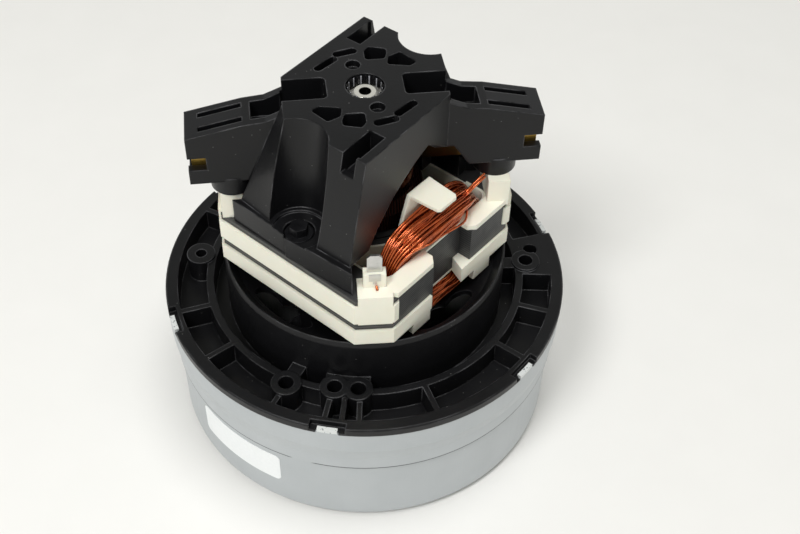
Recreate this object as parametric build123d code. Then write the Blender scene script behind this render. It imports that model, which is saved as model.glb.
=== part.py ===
from build123d import *
import math
import os

# Two-stage bypass vacuum motor. Millimetres, Z up, the floor under the lower shell is
# z 0 and the shaft runs up the Z axis. The brush arms lie along X. The field poles lie
# on the line at -45 degrees and the two long screws on the line at 45 degrees.

# Fan housing, the two sheet steel shells
shell_sheet = 0.9
shell_press_gap = 0.1
lower_shell_radius = 70.1
upper_shell_seam_radius = lower_shell_radius + shell_press_gap + shell_sheet
shell_swell = 1.1
upper_shell_radius = upper_shell_seam_radius + shell_swell
lower_shell_height = 43.0
lower_corner_radius = 4.0
seam_height = 32.0
swell_start = 38.0
swell_end = 43.5
inlet_radius = 19.0
inlet_lip_height = 4.9
inlet_lip_bevel = 0.6
tab_count = 6
tab_angle = 13.5
tab_width = 6.8
tab_fold = 0.6
tab_clearance = 0.15
tab_side_clearance = 0.5

# Fan end bracket, a moulding or casting that closes the fan housing
flange_overhang = 0.2
flange_radius = upper_shell_radius + flange_overhang
flange_thickness = 3.0
flange_top = 55.5
flange_land = 4.4
flange_inner = flange_radius - flange_land
spigot_clearance = 0.1
spigot_depth = 8.0
bracket_floor = 2.5
ring_wall_outer = 57.7
ring_wall_inner = 55.0
cup_radius = 50.0
cup_wall = 2.2
cup_rim = 72.5
dish_edge_radius = 46.0
dish_edge_drop = 4.5
dish_edge_height = cup_rim - dish_edge_drop
dish_knee_radius = 30.0
dish_knee_height = 58.5
dish_thickness = 2.5
hub_radius = 15.5
hub_height = 56.5
hub_wall = 3.6
notch_width = 12.0
notch_depth = 3.0
notch_ledge = 2.3
rib_thickness = 2.0
rib_angles = (36, 58, 80, 104, 131, 146, 191, 211, 284, 316, 336)
boss_rise = 1.0
boss_radius = 5.2
boss_hole_radius = 2.6
boss_hole_floor = 2.0
boss_circle = 59.3
boss_angles = (-123.0, -3.0, 117.0)
bridge_width = 5.2
twin_boss_angles = (-107.1, -98.8)
twin_boss_circle = 55.7
twin_boss_radius = 4.9
twin_plate_width = 15.0
twin_plate_outer = 54.6
twin_web_angles = (-4.8, 0.0, 4.8)
side_boss_angle = 166.8
side_boss_circle = 60.9
side_boss_hole_radius = 2.0
land_half_angle = 9.0
land_hole_angle = 2.7
land_hole_circle = 62.3
web_thickness = 1.8
air_port_count = 4
air_port_angle = -142.5
air_port_inner = 36.0
air_port_outer = 44.0
air_port_span = 25.0
air_port_lobe = 4.6
post_radius = 5.6

# Bearings at both ends of the shaft
bearing_bore_radius = 4.0
bearing_outer_radius = 11.0
bearing_width = 7.0
bearing_outer_ring = 3.0
bearing_shield_gap = 0.2
bearing_shield_recess = 0.4
lower_bearing_seat = 49.0
upper_bearing_seat = 135.0
lower_bearing_shoulder = 8.0
wave_washer_gap = 0.8
retainer_radius = 15.0
retainer_inner = 8.6
retainer_thickness = 1.0

# Rotor: shaft, fans, armature and commutator
shaft_bottom = 8.0
shaft_top = 137.6
shaft_centre_hole = 1.9
shaft_centre_depth = 2.2
thread_length = 11.0
thread_radius = 3.6
nut_flats = 13.0
nut_height = 6.0
fan_shell_gap = 7.2
fan_radius = lower_shell_radius - shell_sheet - fan_shell_gap
fan_sheet = 0.8
fan_vanes = 7
fan_vane_sheet = 0.8
fan_eye_radius = 22.0
fan_vane_start = 23.5
fan_vane_turn = 58.0
vane_flats = 3
first_fan_plate = 18.6
first_fan_rim = 12.0
first_fan_eye = 6.4
second_fan_plate = 41.2
second_fan_rim = 34.5
second_fan_eye = 30.8
fan_washer_radius = 13.0
fan_washer_thickness = 1.0
spacer_radius = 6.4
core_radius = 21.5
core_slots = 12
core_slot_opening = 2.4
core_slot_radius = 3.0
core_slot_depth = 8.0
armature_disc = 0.8
end_winding_radius = 19.6
end_winding_inner = 8.2
end_winding_rise = 9.8
winding_bevel = 3.0
commutator_radius = 14.5
commutator_bottom = 105.5
commutator_top = 124.5
commutator_bars = 24
commutator_bar_gap = 0.5
commutator_bar_depth = 3.2
riser_radius = 16.2
riser_height = 3.0
commutator_hub_radius = 9.5
slinger_radius = 9.8

# Interstage parts between the two fans
stage_plate = 28.4
stage_plate_sheet = 1.0
stage_plate_hole = 20.8
stage_rim_height = 5.0
guide_plate = 21.6
guide_rim_gap = 3.0
guide_plate_radius = fan_radius - guide_rim_gap
guide_plate_sheet = 1.0
guide_plate_hole = 7.2
guide_vanes = 8
guide_vane_sheet = 1.0
guide_vane_start = 24.0
guide_vane_turn = 40.0

# Stator stack, set a little askew between its two long screws
stack_turn = -2.6
stack_bottom = 74.0
stack_height = 19.0
steel_half_width = 38.6
steel_half_length = 39.2
steel_corner = 49.0
stator_bore = 22.0
pole_shoe = 2.6
pole_shoe_angle = 56.0
pole_neck = 13.0
slot_half_width = 27.5
slot_half_length = 33.0
recess_depth = 4.9
recess_half_width = 10.0
screw_offset = 34.1
screw_hole_radius = 2.4

# Ivory slot insulators, one from below and one from above
insulator_wall = 1.0
insulator_corner = 49.9
stack_clearance = 0.2
lower_insulator_bottom = 72.8
lower_insulator_top = 79.2
lower_tab_drop = 4.6
lower_tab_inner = 12.0
lower_tab_outer = 21.0
lower_gap_start = -11.3
lower_gap_end = 4.2
lower_gap_slant = 2.8
skirt_bottom = 82.8
skirt_top = 90.8
corner_block_bottom = 82.3
corner_block_rise = 2.0
corner_block_half_width = 5.6
top_plate_inner = 32.8
top_plate_outer = 39.4
top_plate_start = 9.2
top_plate_end = 29.0
top_plate_cut = 2.3
skirt_end = 31.0
slot_liner = 0.8
arm_post_inner = 41.0
arm_post_outer = 48.4
arm_post_half_width = 8.4
terminal_post_width = 7.3
terminal_post_thickness = 3.6
terminal_post_rise = 7.0
terminal_post_centre = 43.4
terminal_width = 4.8
terminal_thickness = 0.8
terminal_rise = 7.2
terminal_seat = 4.0

# Field coils, one round each pole neck
coil_inner = 14.6
coil_near = 25.65
coil_top = 105.8
coil_bottom = 62.4
coil_columns = 3
coil_layers = 4
coil_wire = 1.7
coil_gap = 0.55
coil_bend = 5.5
coil_spread = 1.1
coil_shift = 1.5
coil_sides = 4
coil_stretch = 30
coil_step = 1.0
coil_wall_near = 22.8
coil_wall_thickness = 1.5
coil_wall_width = 24.0
coil_tab_far = 35.6
coil_tab_width = 11.4
coil_tab_end_width = 9.6
coil_tab_cut = 1.0
coil_tab_top = 111.0
coil_tab_thickness = 1.2

# Commutator bracket
platform_top = 139.8
platform_half_width = 23.5
platform_half_length = 29.0
platform_shoulder = 13.4
platform_skew_x = 14.0
platform_skew_y = 23.7
platform_front_left = 8.5
leg_inner = 8.0
leg_foot_length = 37.2
leg_foot_corner = 10.0
leg_foot_left = 24.0
leg_foot_left_length = 35.4
foot_height = 9.5
foot_back = 22.0
foot_side = 20.0
foot_end = 26.2
foot_left_reach = 37.3
foot_step = 1.6
foot_step_reach = 38.7
foot_reach = 39.6
foot_right_reach = 39.2
window_depth = 8.0
window_foot = 32.8
window_foot_height = 92.5
window_bend = 18.5
window_bend_height = 113.4
window_peak = 2.6
window_peak_height = 125.9
window_arm = 13.5
window_arm_height = 118.1
window_back = 27.0
wall_bottom = 108.0
shaft_cavity_radius = 21.2
cavity_roof = 126.0
screw_scallop = 10.4
washer_pocket_radius = 5.2
washer_pocket_depth = 2.5
pocket_rim_radius = 8.8
pocket_rim_depth = 0.8
shaft_window_radius = 6.25
arm_length = 57.7
arm_half_width = 7.06
arm_end_top = 128.5
arm_bottom = 109.8
arm_boss_centre = 44.0
arm_boss_radius = 7.5
arm_boss_drop = 5.8
channel_start = 12.3
channel_end = 26.8
channel_left = 5.5
channel_right = 5.0
channel_floor = 129.0
arm_pocket_end = 36.6
arm_pocket_half_width = 4.4
arm_pocket_floor = 126.8
arm_slot_start = 39.3
arm_slot_end = 53.4
arm_slot_offset = 3.5
arm_slot_width = 2.2
arm_slot_depth = 4.6
end_notch_length = 5.9
end_notch_height = 5.0
top_recess_depth = 8.0
round_recess_depth = 2.6
recess_round = 1.1

# Long screws that clamp bracket, stack and fan end bracket
screw_radius = 2.1
screw_washer_radius = 4.65
screw_washer_thickness = 1.2
screw_hex_flats = 5.5
screw_head_height = 3.2
screw_bite = 11.0

# Brush gear
brush_height = 118.0
brush_width = 6.4
brush_tall = 11.0
brush_length = 20.0
brush_running_gap = 0.1
brush_box_wall = 0.8
brush_box_start = 18.6
brush_box_end = 56.6
brush_box_fit = 0.1
spring_wire = 0.6
spring_radius = 2.4
brush_tag_width = 4.6

# Blank label on the lower shell
label_angle = -136.5
label_span = 30.0
label_bottom = 14.0
label_height = 14.0
label_thickness = 0.2
label_corner = 2.0


def disc(radius, low, high, x=0.0, y=0.0):
    return Pos(x, y, (low + high) / 2) * Cylinder(radius, high - low)


def tube(outer, inner, low, high):
    return disc(outer, low, high) - disc(inner, low - 1, high + 1)


def turned(points):
    """A solid turned round the shaft line from an outline of radius and height."""
    return revolve(Plane.XZ * Polygon(*points, align=None), Axis.Z)


def upright(points, low, high):
    """A prism with vertical walls, from an outline seen from above."""
    flat = Polygon(*points, align=None)
    return Pos(0, 0, low) * extrude(flat, amount=high - low, dir=(0, 0, 1))


def block(x_low, x_high, y_low, y_high, low, high):
    centre = Pos((x_low + x_high) / 2, (y_low + y_high) / 2, (low + high) / 2)
    return centre * Box(x_high - x_low, y_high - y_low, high - low)


def corners(inner, count):
    """Corners of a regular outline from the radius of its flats."""
    outer = inner / math.cos(math.pi / count)
    turns = [2 * math.pi * i / count for i in range(count)]
    return [(outer * math.cos(turn), outer * math.sin(turn)) for turn in turns]


def together(shapes):
    """Separate solids kept in one node."""
    return Part() + shapes


def round_about(count, shape, start=0.0):
    """Copies of one shape, evenly spaced round the shaft."""
    return [Rot(0, 0, start + 360 / count * i) * shape for i in range(count)]


def both_ends(shape):
    """The shape and its half-turn twin on the other side of the shaft."""
    return [shape, Rot(0, 0, 180) * shape]


def field_frame(shape):
    """From the field's own frame, its poles along X, to the motor's."""
    return Rot(0, 0, -45) * shape


def stack_frame(shape):
    """From the steel stack's own frame to the motor's: the field's, a little askew."""
    return Rot(0, 0, stack_turn) * field_frame(shape)


def low_edges(shape, radius, height):
    """The round edges of one radius at one height."""
    return shape.edges().filter_by(GeomType.CIRCLE).filter_by(
        lambda edge: abs(edge.radius - radius) < 0.01
        and abs(edge.center().Z - height) < 0.01)


def save(shape, name):
    export_step(shape, f"parts/{name}.step")


# Lower shell: drawn sheet cup with a rolled inlet eye in its floor
def lower_shell():
    outer = lower_shell_radius
    inner = outer - shell_sheet
    lip = inlet_radius + shell_sheet
    cup = turned([
        (inlet_radius, 0), (outer, 0), (outer, lower_shell_height),
        (inner, lower_shell_height), (inner, shell_sheet), (lip, shell_sheet),
        (lip, inlet_lip_height), (inlet_radius, inlet_lip_height),
    ])
    cup = fillet(low_edges(cup, outer, 0), lower_corner_radius)
    cup = chamfer(low_edges(cup, inner, shell_sheet), lower_corner_radius - shell_sheet)
    return chamfer(low_edges(cup, inlet_radius, 0), inlet_lip_bevel)


# Upper shell: sheet band that swells round the bracket, its tabs folded over the flange
def upper_shell():
    top = flange_top - flange_thickness
    wide = upper_shell_radius
    narrow = upper_shell_seam_radius
    band = turned([
        (narrow, seam_height), (narrow, swell_start), (wide, swell_end), (wide, top),
        (wide - shell_sheet, top), (wide - shell_sheet, swell_end),
        (narrow - shell_sheet, swell_start), (narrow - shell_sheet, seam_height),
    ])
    ledge = flange_top - notch_ledge
    fold_top = ledge + shell_sheet
    riser = tube(wide, wide - shell_sheet, top, fold_top)
    fold = tube(wide, wide - shell_sheet - tab_fold, ledge, fold_top)
    strip = block(0, wide + 1, -tab_width / 2, tab_width / 2, top, fold_top)
    tab = (riser + fold) & strip
    return band + round_about(tab_count, tab, tab_angle)


# Blank label wrapped on the lower shell
def blank_label():
    inner = lower_shell_radius
    wrap = tube(inner + label_thickness, inner, label_bottom, label_bottom + label_height)
    middle = label_bottom + label_height / 2
    chord = 2 * inner * math.sin(math.radians(label_span / 2))
    outline = RectangleRounded(chord, label_height, label_corner)
    press = Plane(origin=(0, 0, middle), x_dir=(0, 1, 0), z_dir=(1, 0, 0)) * outline
    return Rot(0, 0, label_angle) * (wrap & extrude(press, amount=inner + 2, dir=(1, 0, 0)))


# Fan end bracket
def bracket_body():
    top = flange_top
    under = flange_top - flange_thickness - spigot_depth
    floor = under + bracket_floor
    spigot = upper_shell_radius - shell_sheet - spigot_clearance
    cup_inner = cup_radius - cup_wall
    seat_top = lower_bearing_seat + bearing_width
    seat_low = lower_bearing_seat - 2.0
    hub_outer = bearing_outer_radius + hub_wall
    knee_under = dish_knee_height - dish_thickness
    return turned([
        (spigot, under), (spigot, top - flange_thickness),
        (flange_radius, top - flange_thickness), (flange_radius, top - 0.4),
        (flange_radius - 0.4, top), (flange_inner, top), (flange_inner, floor),
        (ring_wall_outer, floor), (ring_wall_outer, top), (ring_wall_inner, top),
        (ring_wall_inner, floor), (cup_radius, floor), (cup_radius, cup_rim - 2.0),
        (cup_radius - 0.5, cup_rim), (cup_radius - 0.8, cup_rim),
        (dish_edge_radius, dish_edge_height), (dish_knee_radius, dish_knee_height),
        (hub_radius, hub_height), (hub_radius, seat_top), (bearing_outer_radius, seat_top),
        (bearing_outer_radius, lower_bearing_seat),
        (lower_bearing_shoulder, lower_bearing_seat), (lower_bearing_shoulder, seat_low),
        (hub_outer, seat_low), (hub_outer, hub_height - dish_thickness),
        (dish_knee_radius, knee_under),
        (dish_edge_radius - 1.0, dish_edge_height - dish_thickness - 0.6),
        (cup_inner, dish_edge_height - dish_thickness + 1.0), (cup_inner, under),
    ])


def bracket_ribs():
    """Thin ribs across the trough outside the ring wall."""
    floor = flange_top - flange_thickness - spigot_depth + bracket_floor
    rib = block(ring_wall_outer - 1, flange_inner + 1, -rib_thickness / 2,
                rib_thickness / 2, floor - 1, flange_top)
    return [Rot(0, 0, angle) * rib for angle in rib_angles]


def bracket_bosses():
    """Screw bosses, the bridge to the cup wall and the flat land at the right."""
    floor = flange_top - flange_thickness - spigot_depth + bracket_floor
    top = flange_top + boss_rise
    bosses = []
    for angle in boss_angles:
        reach = block(cup_radius - 0.6, boss_circle, -bridge_width / 2, bridge_width / 2,
                      floor - 1, flange_top)
        outward = block(boss_circle, flange_inner + 1, -web_thickness / 2,
                        web_thickness / 2, floor - 1, flange_top)
        bosses.append(Rot(0, 0, angle) * (
            disc(boss_radius, floor - 1, top, boss_circle) + reach + outward))
    middle = sum(twin_boss_angles) / 2
    plate = block(cup_radius - 1.5, twin_plate_outer, -twin_plate_width / 2,
                  twin_plate_width / 2, floor - 1, flange_top)
    webs = [Rot(0, 0, side) * block(twin_boss_circle, flange_inner + 1,
                                    -web_thickness / 2, web_thickness / 2,
                                    floor - 1, flange_top)
            for side in twin_web_angles]
    bosses.append(Rot(0, 0, middle) * (plate + webs))
    bosses += [Rot(0, 0, angle) * disc(twin_boss_radius, floor - 1, top, twin_boss_circle)
               for angle in twin_boss_angles]
    side = disc(boss_radius, floor - 1, top, side_boss_circle)
    bosses.append(Rot(0, 0, side_boss_angle) * side)
    land = tube(flange_inner + 1, ring_wall_outer - 1, floor - 1, flange_top)
    half = math.radians(land_half_angle)
    reach = 2 * flange_radius
    wedge = upright([(0, 0), (reach * math.cos(half), -reach * math.sin(half)),
                     (reach * math.cos(half), reach * math.sin(half))],
                    floor - 1, flange_top)
    bosses.append(land & wedge)
    return bosses


def bracket_posts():
    """Two posts rising through the dish, on which the steel stack is clamped."""
    low = dish_knee_height - dish_thickness - 3.0
    post = disc(post_radius, low, stack_bottom, 0, -screw_offset)
    return [field_frame(one) for one in both_ends(post)]


def stack_relief():
    """Room for the lower insulator and its tabs, wherever the cup reaches up to them."""
    low = lower_insulator_bottom - stack_clearance
    room = upright(
        chamfered_square(steel_half_width + insulator_wall + stack_clearance,
                         steel_half_length + insulator_wall + stack_clearance,
                         insulator_corner + stack_clearance),
        low, stack_bottom + stack_height)
    tab = block(steel_half_width - insulator_wall - stack_clearance,
                steel_half_width + insulator_wall + stack_clearance,
                lower_tab_inner - stack_clearance, lower_tab_outer + stack_clearance,
                low - lower_tab_drop, low + 1)
    tabs = both_ends(tab) + both_ends(mirror(tab, Plane.XZ))
    return stack_frame(room + tabs)


def bracket_holes():
    """Blind holes in the bosses and the screw holes in the posts."""
    floor = flange_top - flange_thickness - spigot_depth + boss_hole_floor
    places = [(boss_circle, angle, boss_hole_radius) for angle in boss_angles]
    places += [(twin_boss_circle, angle, boss_hole_radius) for angle in twin_boss_angles]
    places += [(side_boss_circle, side_boss_angle, side_boss_hole_radius),
               (land_hole_circle, land_hole_angle, boss_hole_radius)]
    holes = [Rot(0, 0, angle) * disc(radius, floor, flange_top + 5, reach)
             for reach, angle, radius in places]
    bore = disc(screw_radius, stack_bottom - screw_bite, stack_bottom + 1, 0, -screw_offset)
    return holes + [field_frame(one) for one in both_ends(bore)]


def bracket_notches():
    """Slots in the flange edge where the upper shell's tabs come up and fold over."""
    low = flange_top - flange_thickness - 1
    wall = upper_shell_radius - shell_sheet - tab_clearance
    half = tab_width / 2 + tab_side_clearance
    slot = block(wall, flange_radius + 1, -half, half, low, flange_top + 1)
    ledge = block(flange_radius - notch_depth, flange_radius + 1, -notch_width / 2,
                  notch_width / 2, flange_top - notch_ledge, flange_top + 1)
    return round_about(tab_count, slot + ledge, tab_angle)


def air_ports():
    """Lobed openings in the dish that let the fans' air up past the field."""
    half = math.radians(air_port_span / 2)
    middle = (air_port_inner + air_port_outer) / 2
    wide = (air_port_outer - air_port_inner) / 2
    band = tube(air_port_outer, air_port_inner, hub_height - 2, cup_rim)
    reach = 2 * air_port_outer
    wedge = upright([(0, 0), (reach * math.cos(half), -reach * math.sin(half)),
                     (reach * math.cos(half), reach * math.sin(half))],
                    hub_height - 2, cup_rim)
    port = band & wedge
    for side in (-half, half):
        port += disc(wide, hub_height - 2, cup_rim, middle * math.cos(side),
                     middle * math.sin(side))
    port += disc(air_port_lobe, hub_height - 2, cup_rim, air_port_inner, 0)
    return round_about(air_port_count, port, air_port_angle)


def fan_end_bracket():
    body = bracket_body() + bracket_ribs() + bracket_bosses() - stack_relief()
    return body + bracket_posts() - bracket_holes() - bracket_notches() - air_ports()


# Interstage plate: a dished sheet disc pressed into the lower shell
def interstage_plate():
    outer = lower_shell_radius - shell_sheet
    top = stage_plate + stage_plate_sheet
    return turned([
        (stage_plate_hole, stage_plate), (outer, stage_plate),
        (outer, stage_plate + stage_rim_height),
        (outer - stage_plate_sheet, stage_plate + stage_rim_height),
        (outer - stage_plate_sheet, top), (stage_plate_hole, top),
    ])


def swept_vane(start, end, turn, sheet, low, high):
    """A vane standing on edge in flats, swept back from one radius out to another."""
    line = []
    for step in range(vane_flats + 1):
        radius = start + (end - start) * step / vane_flats
        angle = math.radians(turn) * step / vane_flats
        line.append((radius * math.cos(angle), radius * math.sin(angle)))
    left, right = [], []
    for step, (x, y) in enumerate(line):
        before, after = line[max(step - 1, 0)], line[min(step + 1, vane_flats)]
        length = math.dist(before, after)
        across = ((before[1] - after[1]) / length, (after[0] - before[0]) / length)
        left.append((x + across[0] * sheet / 2, y + across[1] * sheet / 2))
        right.append((x - across[0] * sheet / 2, y - across[1] * sheet / 2))
    return upright(left + right[::-1], low, high)


# Return guide: the lower disc and its vanes, which lead the air back to the centre
def return_guide():
    top = guide_plate + guide_plate_sheet
    plate = tube(guide_plate_radius, guide_plate_hole, guide_plate, top)
    vane = swept_vane(guide_vane_start, guide_plate_radius - 2, guide_vane_turn,
                      guide_vane_sheet, top - 0.3, stage_plate)
    return plate + round_about(guide_vanes, vane)


# Fans: a flat plate, a coned eye plate and curved vanes between them
def fan(plate, rim, eye):
    lip = fan_eye_radius + fan_sheet
    flat = tube(fan_radius, bearing_bore_radius, plate, plate + fan_sheet)
    cone = turned([
        (fan_eye_radius, eye), (lip, eye), (lip, eye + 1.2), (fan_radius, rim),
        (fan_radius, rim + fan_sheet), (lip, eye + 1.2 + fan_sheet),
        (fan_eye_radius, eye + 1.2 + fan_sheet),
    ])
    room = turned([
        (fan_vane_start, eye + 1.6), (fan_radius - 0.8, rim + fan_sheet / 2),
        (fan_radius - 0.8, plate + fan_sheet / 2), (fan_vane_start, plate + fan_sheet / 2),
    ])
    vane = swept_vane(fan_vane_start, fan_radius - 0.8, fan_vane_turn, fan_vane_sheet, eye,
                      plate + 2)
    return flat + cone + [one & room for one in round_about(fan_vanes, vane)]


def fan_washers():
    """The disc that stiffens each fan plate at the shaft, under the plate."""
    return together([tube(fan_washer_radius, bearing_bore_radius,
                          plate - fan_washer_thickness, plate)
                     for plate in (first_fan_plate, second_fan_plate)])


def fan_spacer():
    low = first_fan_plate + fan_sheet
    return tube(spacer_radius, bearing_bore_radius, low,
                second_fan_plate - fan_washer_thickness)


# Spacer with a flange that throws dust off before it reaches the lower bearing
def bearing_spacer():
    low = second_fan_plate + fan_sheet
    neck = tube(spacer_radius, bearing_bore_radius, low, lower_bearing_seat)
    return neck + tube(slinger_radius, bearing_bore_radius, low, low + 1.2)


def shaft_nut():
    high = first_fan_plate - fan_washer_thickness
    low = high - nut_height
    body = upright(corners(nut_flats / 2, 6), low, high)
    return body - disc(thread_radius, low - 1, high + 1)


def shaft():
    thread_top = shaft_bottom + thread_length
    nut_top = first_fan_plate - fan_washer_thickness
    rod = disc(bearing_bore_radius, nut_top, shaft_top)
    rod += disc(thread_radius, shaft_bottom, nut_top)
    rod = chamfer(rod.faces().sort_by(Axis.Z)[-1].edges(), 0.5)
    rod = chamfer(rod.faces().sort_by(Axis.Z)[0].edges(), 0.5)
    return rod - disc(shaft_centre_hole, shaft_top - shaft_centre_depth, shaft_top + 1)


# Sealed ball bearings: the outer ring with its shields, and the inner ring on the shaft
def bearing_outer(seat):
    high = seat + bearing_width
    inside = bearing_bore_radius + bearing_inner_ring() + bearing_shield_gap
    ring = tube(bearing_outer_radius, inside, seat, high)
    step = bearing_outer_radius - 2.0
    return ring - [disc(step, seat - 1, seat + bearing_shield_recess),
                   disc(step, high - bearing_shield_recess, high + 1)]


def bearing_inner_ring():
    """Thickness of the inner ring."""
    return bearing_outer_radius - bearing_bore_radius - bearing_outer_ring - 2.0


def bearing_inner(seat):
    return tube(bearing_bore_radius + bearing_inner_ring(), bearing_bore_radius, seat,
                seat + bearing_width)


# Wave washer that takes up the play above the upper bearing
def wave_washer():
    low = upper_bearing_seat
    return tube(bearing_outer_radius - 0.4, bearing_outer_radius - 3.0, low,
                low + wave_washer_gap)


# Plate that keeps the lower bearing in its hub
def bearing_retainer():
    low = lower_bearing_seat + bearing_width
    return tube(retainer_radius, retainer_inner, low, low + retainer_thickness)


# Armature: slotted core, windings, end insulators and commutator
def armature_core():
    low = stack_bottom
    high = stack_bottom + stack_height
    middle = slot_bottom() + core_slot_radius
    core = tube(core_radius, bearing_bore_radius, low, high)
    pocket = Pos(middle, 0, 0) * upright(corners(core_slot_radius, 6), low - 1, high + 1)
    mouth = block(middle, core_radius + 1, -core_slot_opening / 2, core_slot_opening / 2,
                  low - 1, high + 1)
    return core - round_about(core_slots, pocket + mouth)


def slot_bottom():
    """Radius of the floor of the core's slots."""
    return core_radius - core_slot_depth / 2 - 1 - core_slot_radius


def armature_winding():
    """Slot bundles joined to a bevelled head of end turns above and below."""
    low = stack_bottom
    high = stack_bottom + stack_height
    middle = slot_bottom() + core_slot_radius
    bundle = Pos(middle, 0, 0) * upright(corners(core_slot_radius - 0.6, 6),
                                         low - 1, high + 1)
    heads = []
    for base, end in ((low - armature_disc, low - end_winding_rise),
                      (high + armature_disc, high + end_winding_rise)):
        head = tube(end_winding_radius, end_winding_inner, min(base, end), max(base, end))
        far = head.faces().sort_by(Axis.Z)[0 if end < base else -1]
        outer = far.edges().sort_by(SortBy.RADIUS)[-1]
        heads.append(chamfer(outer, winding_bevel))
    return heads[0] + heads[1] + round_about(core_slots, bundle)


def armature_insulators():
    """The two fibre discs against the ends of the core."""
    low = stack_bottom
    high = stack_bottom + stack_height
    radius = slot_bottom() - 0.2
    return together([tube(radius, bearing_bore_radius, low - armature_disc, low),
                     tube(radius, bearing_bore_radius, high, high + armature_disc)])


def bar_gaps(inner):
    """The gaps between the commutator's bars, from one radius outwards."""
    gap = block(inner, riser_radius + 1, -commutator_bar_gap / 2, commutator_bar_gap / 2,
                commutator_bottom - 1, commutator_top + 1)
    return round_about(commutator_bars, gap, 180 / commutator_bars)


def commutator():
    ring = tube(commutator_radius, commutator_hub_radius, commutator_bottom, commutator_top)
    return ring - bar_gaps(commutator_radius - commutator_bar_depth)


def commutator_risers():
    """The hooks at the foot of the bars, which hold the ends of the winding."""
    low = commutator_bottom
    ring = tube(riser_radius, commutator_radius, low, low + riser_height)
    return ring - bar_gaps(commutator_radius - 1)


def commutator_hub():
    low = commutator_bottom
    return tube(commutator_hub_radius, bearing_bore_radius, low - 1.0,
                commutator_top + 0.6)


# Stator stack in its own frame: poles along X
def chamfered_square(half_width, half_length, corner):
    """A block outline whose corners are cut square to the motor's X and Y."""
    cut = corner * math.sqrt(2)
    x_cut = cut - half_length
    y_cut = cut - half_width
    return [(half_width, -y_cut), (half_width, y_cut), (x_cut, half_length),
            (-x_cut, half_length), (-half_width, y_cut), (-half_width, -y_cut),
            (-x_cut, -half_length), (x_cut, -half_length)]


def field_opening(gap, low, high):
    """The bore and coil slots, with the pole necks and shoes left standing."""
    room = Pos(0, 0, (low + high) / 2) * Box(
        2 * (slot_half_length - gap), 2 * (slot_half_width - gap), high - low)
    room = fillet(room.edges().filter_by(Axis.Z), 4.0)
    neck = block(-slot_half_length - 1, slot_half_length + 1, -pole_neck - gap,
                 pole_neck + gap, low - 1, high + 1)
    shoe = disc(stator_bore + pole_shoe + gap, low - 1, high + 1)
    reach = 2 * slot_half_length
    angle = math.radians(pole_shoe_angle)
    arms = [(0, 0), (reach * math.cos(angle), -reach * math.sin(angle)),
            (reach * math.cos(angle), reach * math.sin(angle))]
    wedge = upright(arms, low - 1, high + 1)
    room = room - neck - [shoe & one for one in both_ends(wedge)]
    return room


def steel_block(low, high):
    """The stack's outline, with a shallow recess behind each pole."""
    stack = upright(chamfered_square(steel_half_width, steel_half_length, steel_corner),
                    low, high)
    recess = block(steel_half_width - recess_depth, steel_half_width + 1,
                   -recess_half_width, recess_half_width, low - 1, high + 1)
    return stack - both_ends(recess)


def stator_laminations():
    low = stack_bottom
    high = stack_bottom + stack_height
    stack = steel_block(low, high)
    bore = disc(stator_bore, low - 1, high + 1)
    hole = disc(screw_hole_radius, low - 1, high + 1, 0, -screw_offset)
    stack = stack_frame(stack - bore - field_opening(0.0, low - 1, high + 1))
    return stack - [field_frame(one) for one in both_ends(hole)]


# Lower insulator: tray under the stack with a skirt and two tabs beside each coil
def lower_insulator():
    low = lower_insulator_bottom
    shape = upright(
        chamfered_square(steel_half_width + insulator_wall,
                         steel_half_length + insulator_wall, insulator_corner),
        low, lower_insulator_top)
    tab = block(steel_half_width - insulator_wall, steel_half_width + insulator_wall,
                lower_tab_inner, lower_tab_outer, low - lower_tab_drop, low + 1)
    tabs = both_ends(tab) + both_ends(mirror(tab, Plane.XZ))
    liner_top = stack_bottom + stack_height / 2 - 0.5
    liner = field_opening(0.0, low, liner_top)
    room = field_opening(slot_liner, low - 1, liner_top + 1)
    seat = disc(post_radius + 0.3, low - 1, stack_bottom + 1, 0, -screw_offset)
    shape = shape - steel_block(stack_bottom, lower_insulator_top + 1)
    shape = (shape + (liner - disc(stator_bore + pole_shoe, low - 1, liner_top + 1))) - room
    shape = shape - disc(stator_bore + 0.4, low - 1, liner_top + 1) + tabs
    inner = steel_half_width - recess_depth
    outer = steel_half_width + insulator_wall + 1
    gap = upright([(inner, lower_gap_start), (outer, lower_gap_start),
                   (outer, lower_gap_end), (inner, lower_gap_end + lower_gap_slant)],
                  low - 1, lower_insulator_top + 1)
    shape = stack_frame(shape - both_ends(gap))
    return shape - [field_frame(one) for one in both_ends(seat)]


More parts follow.
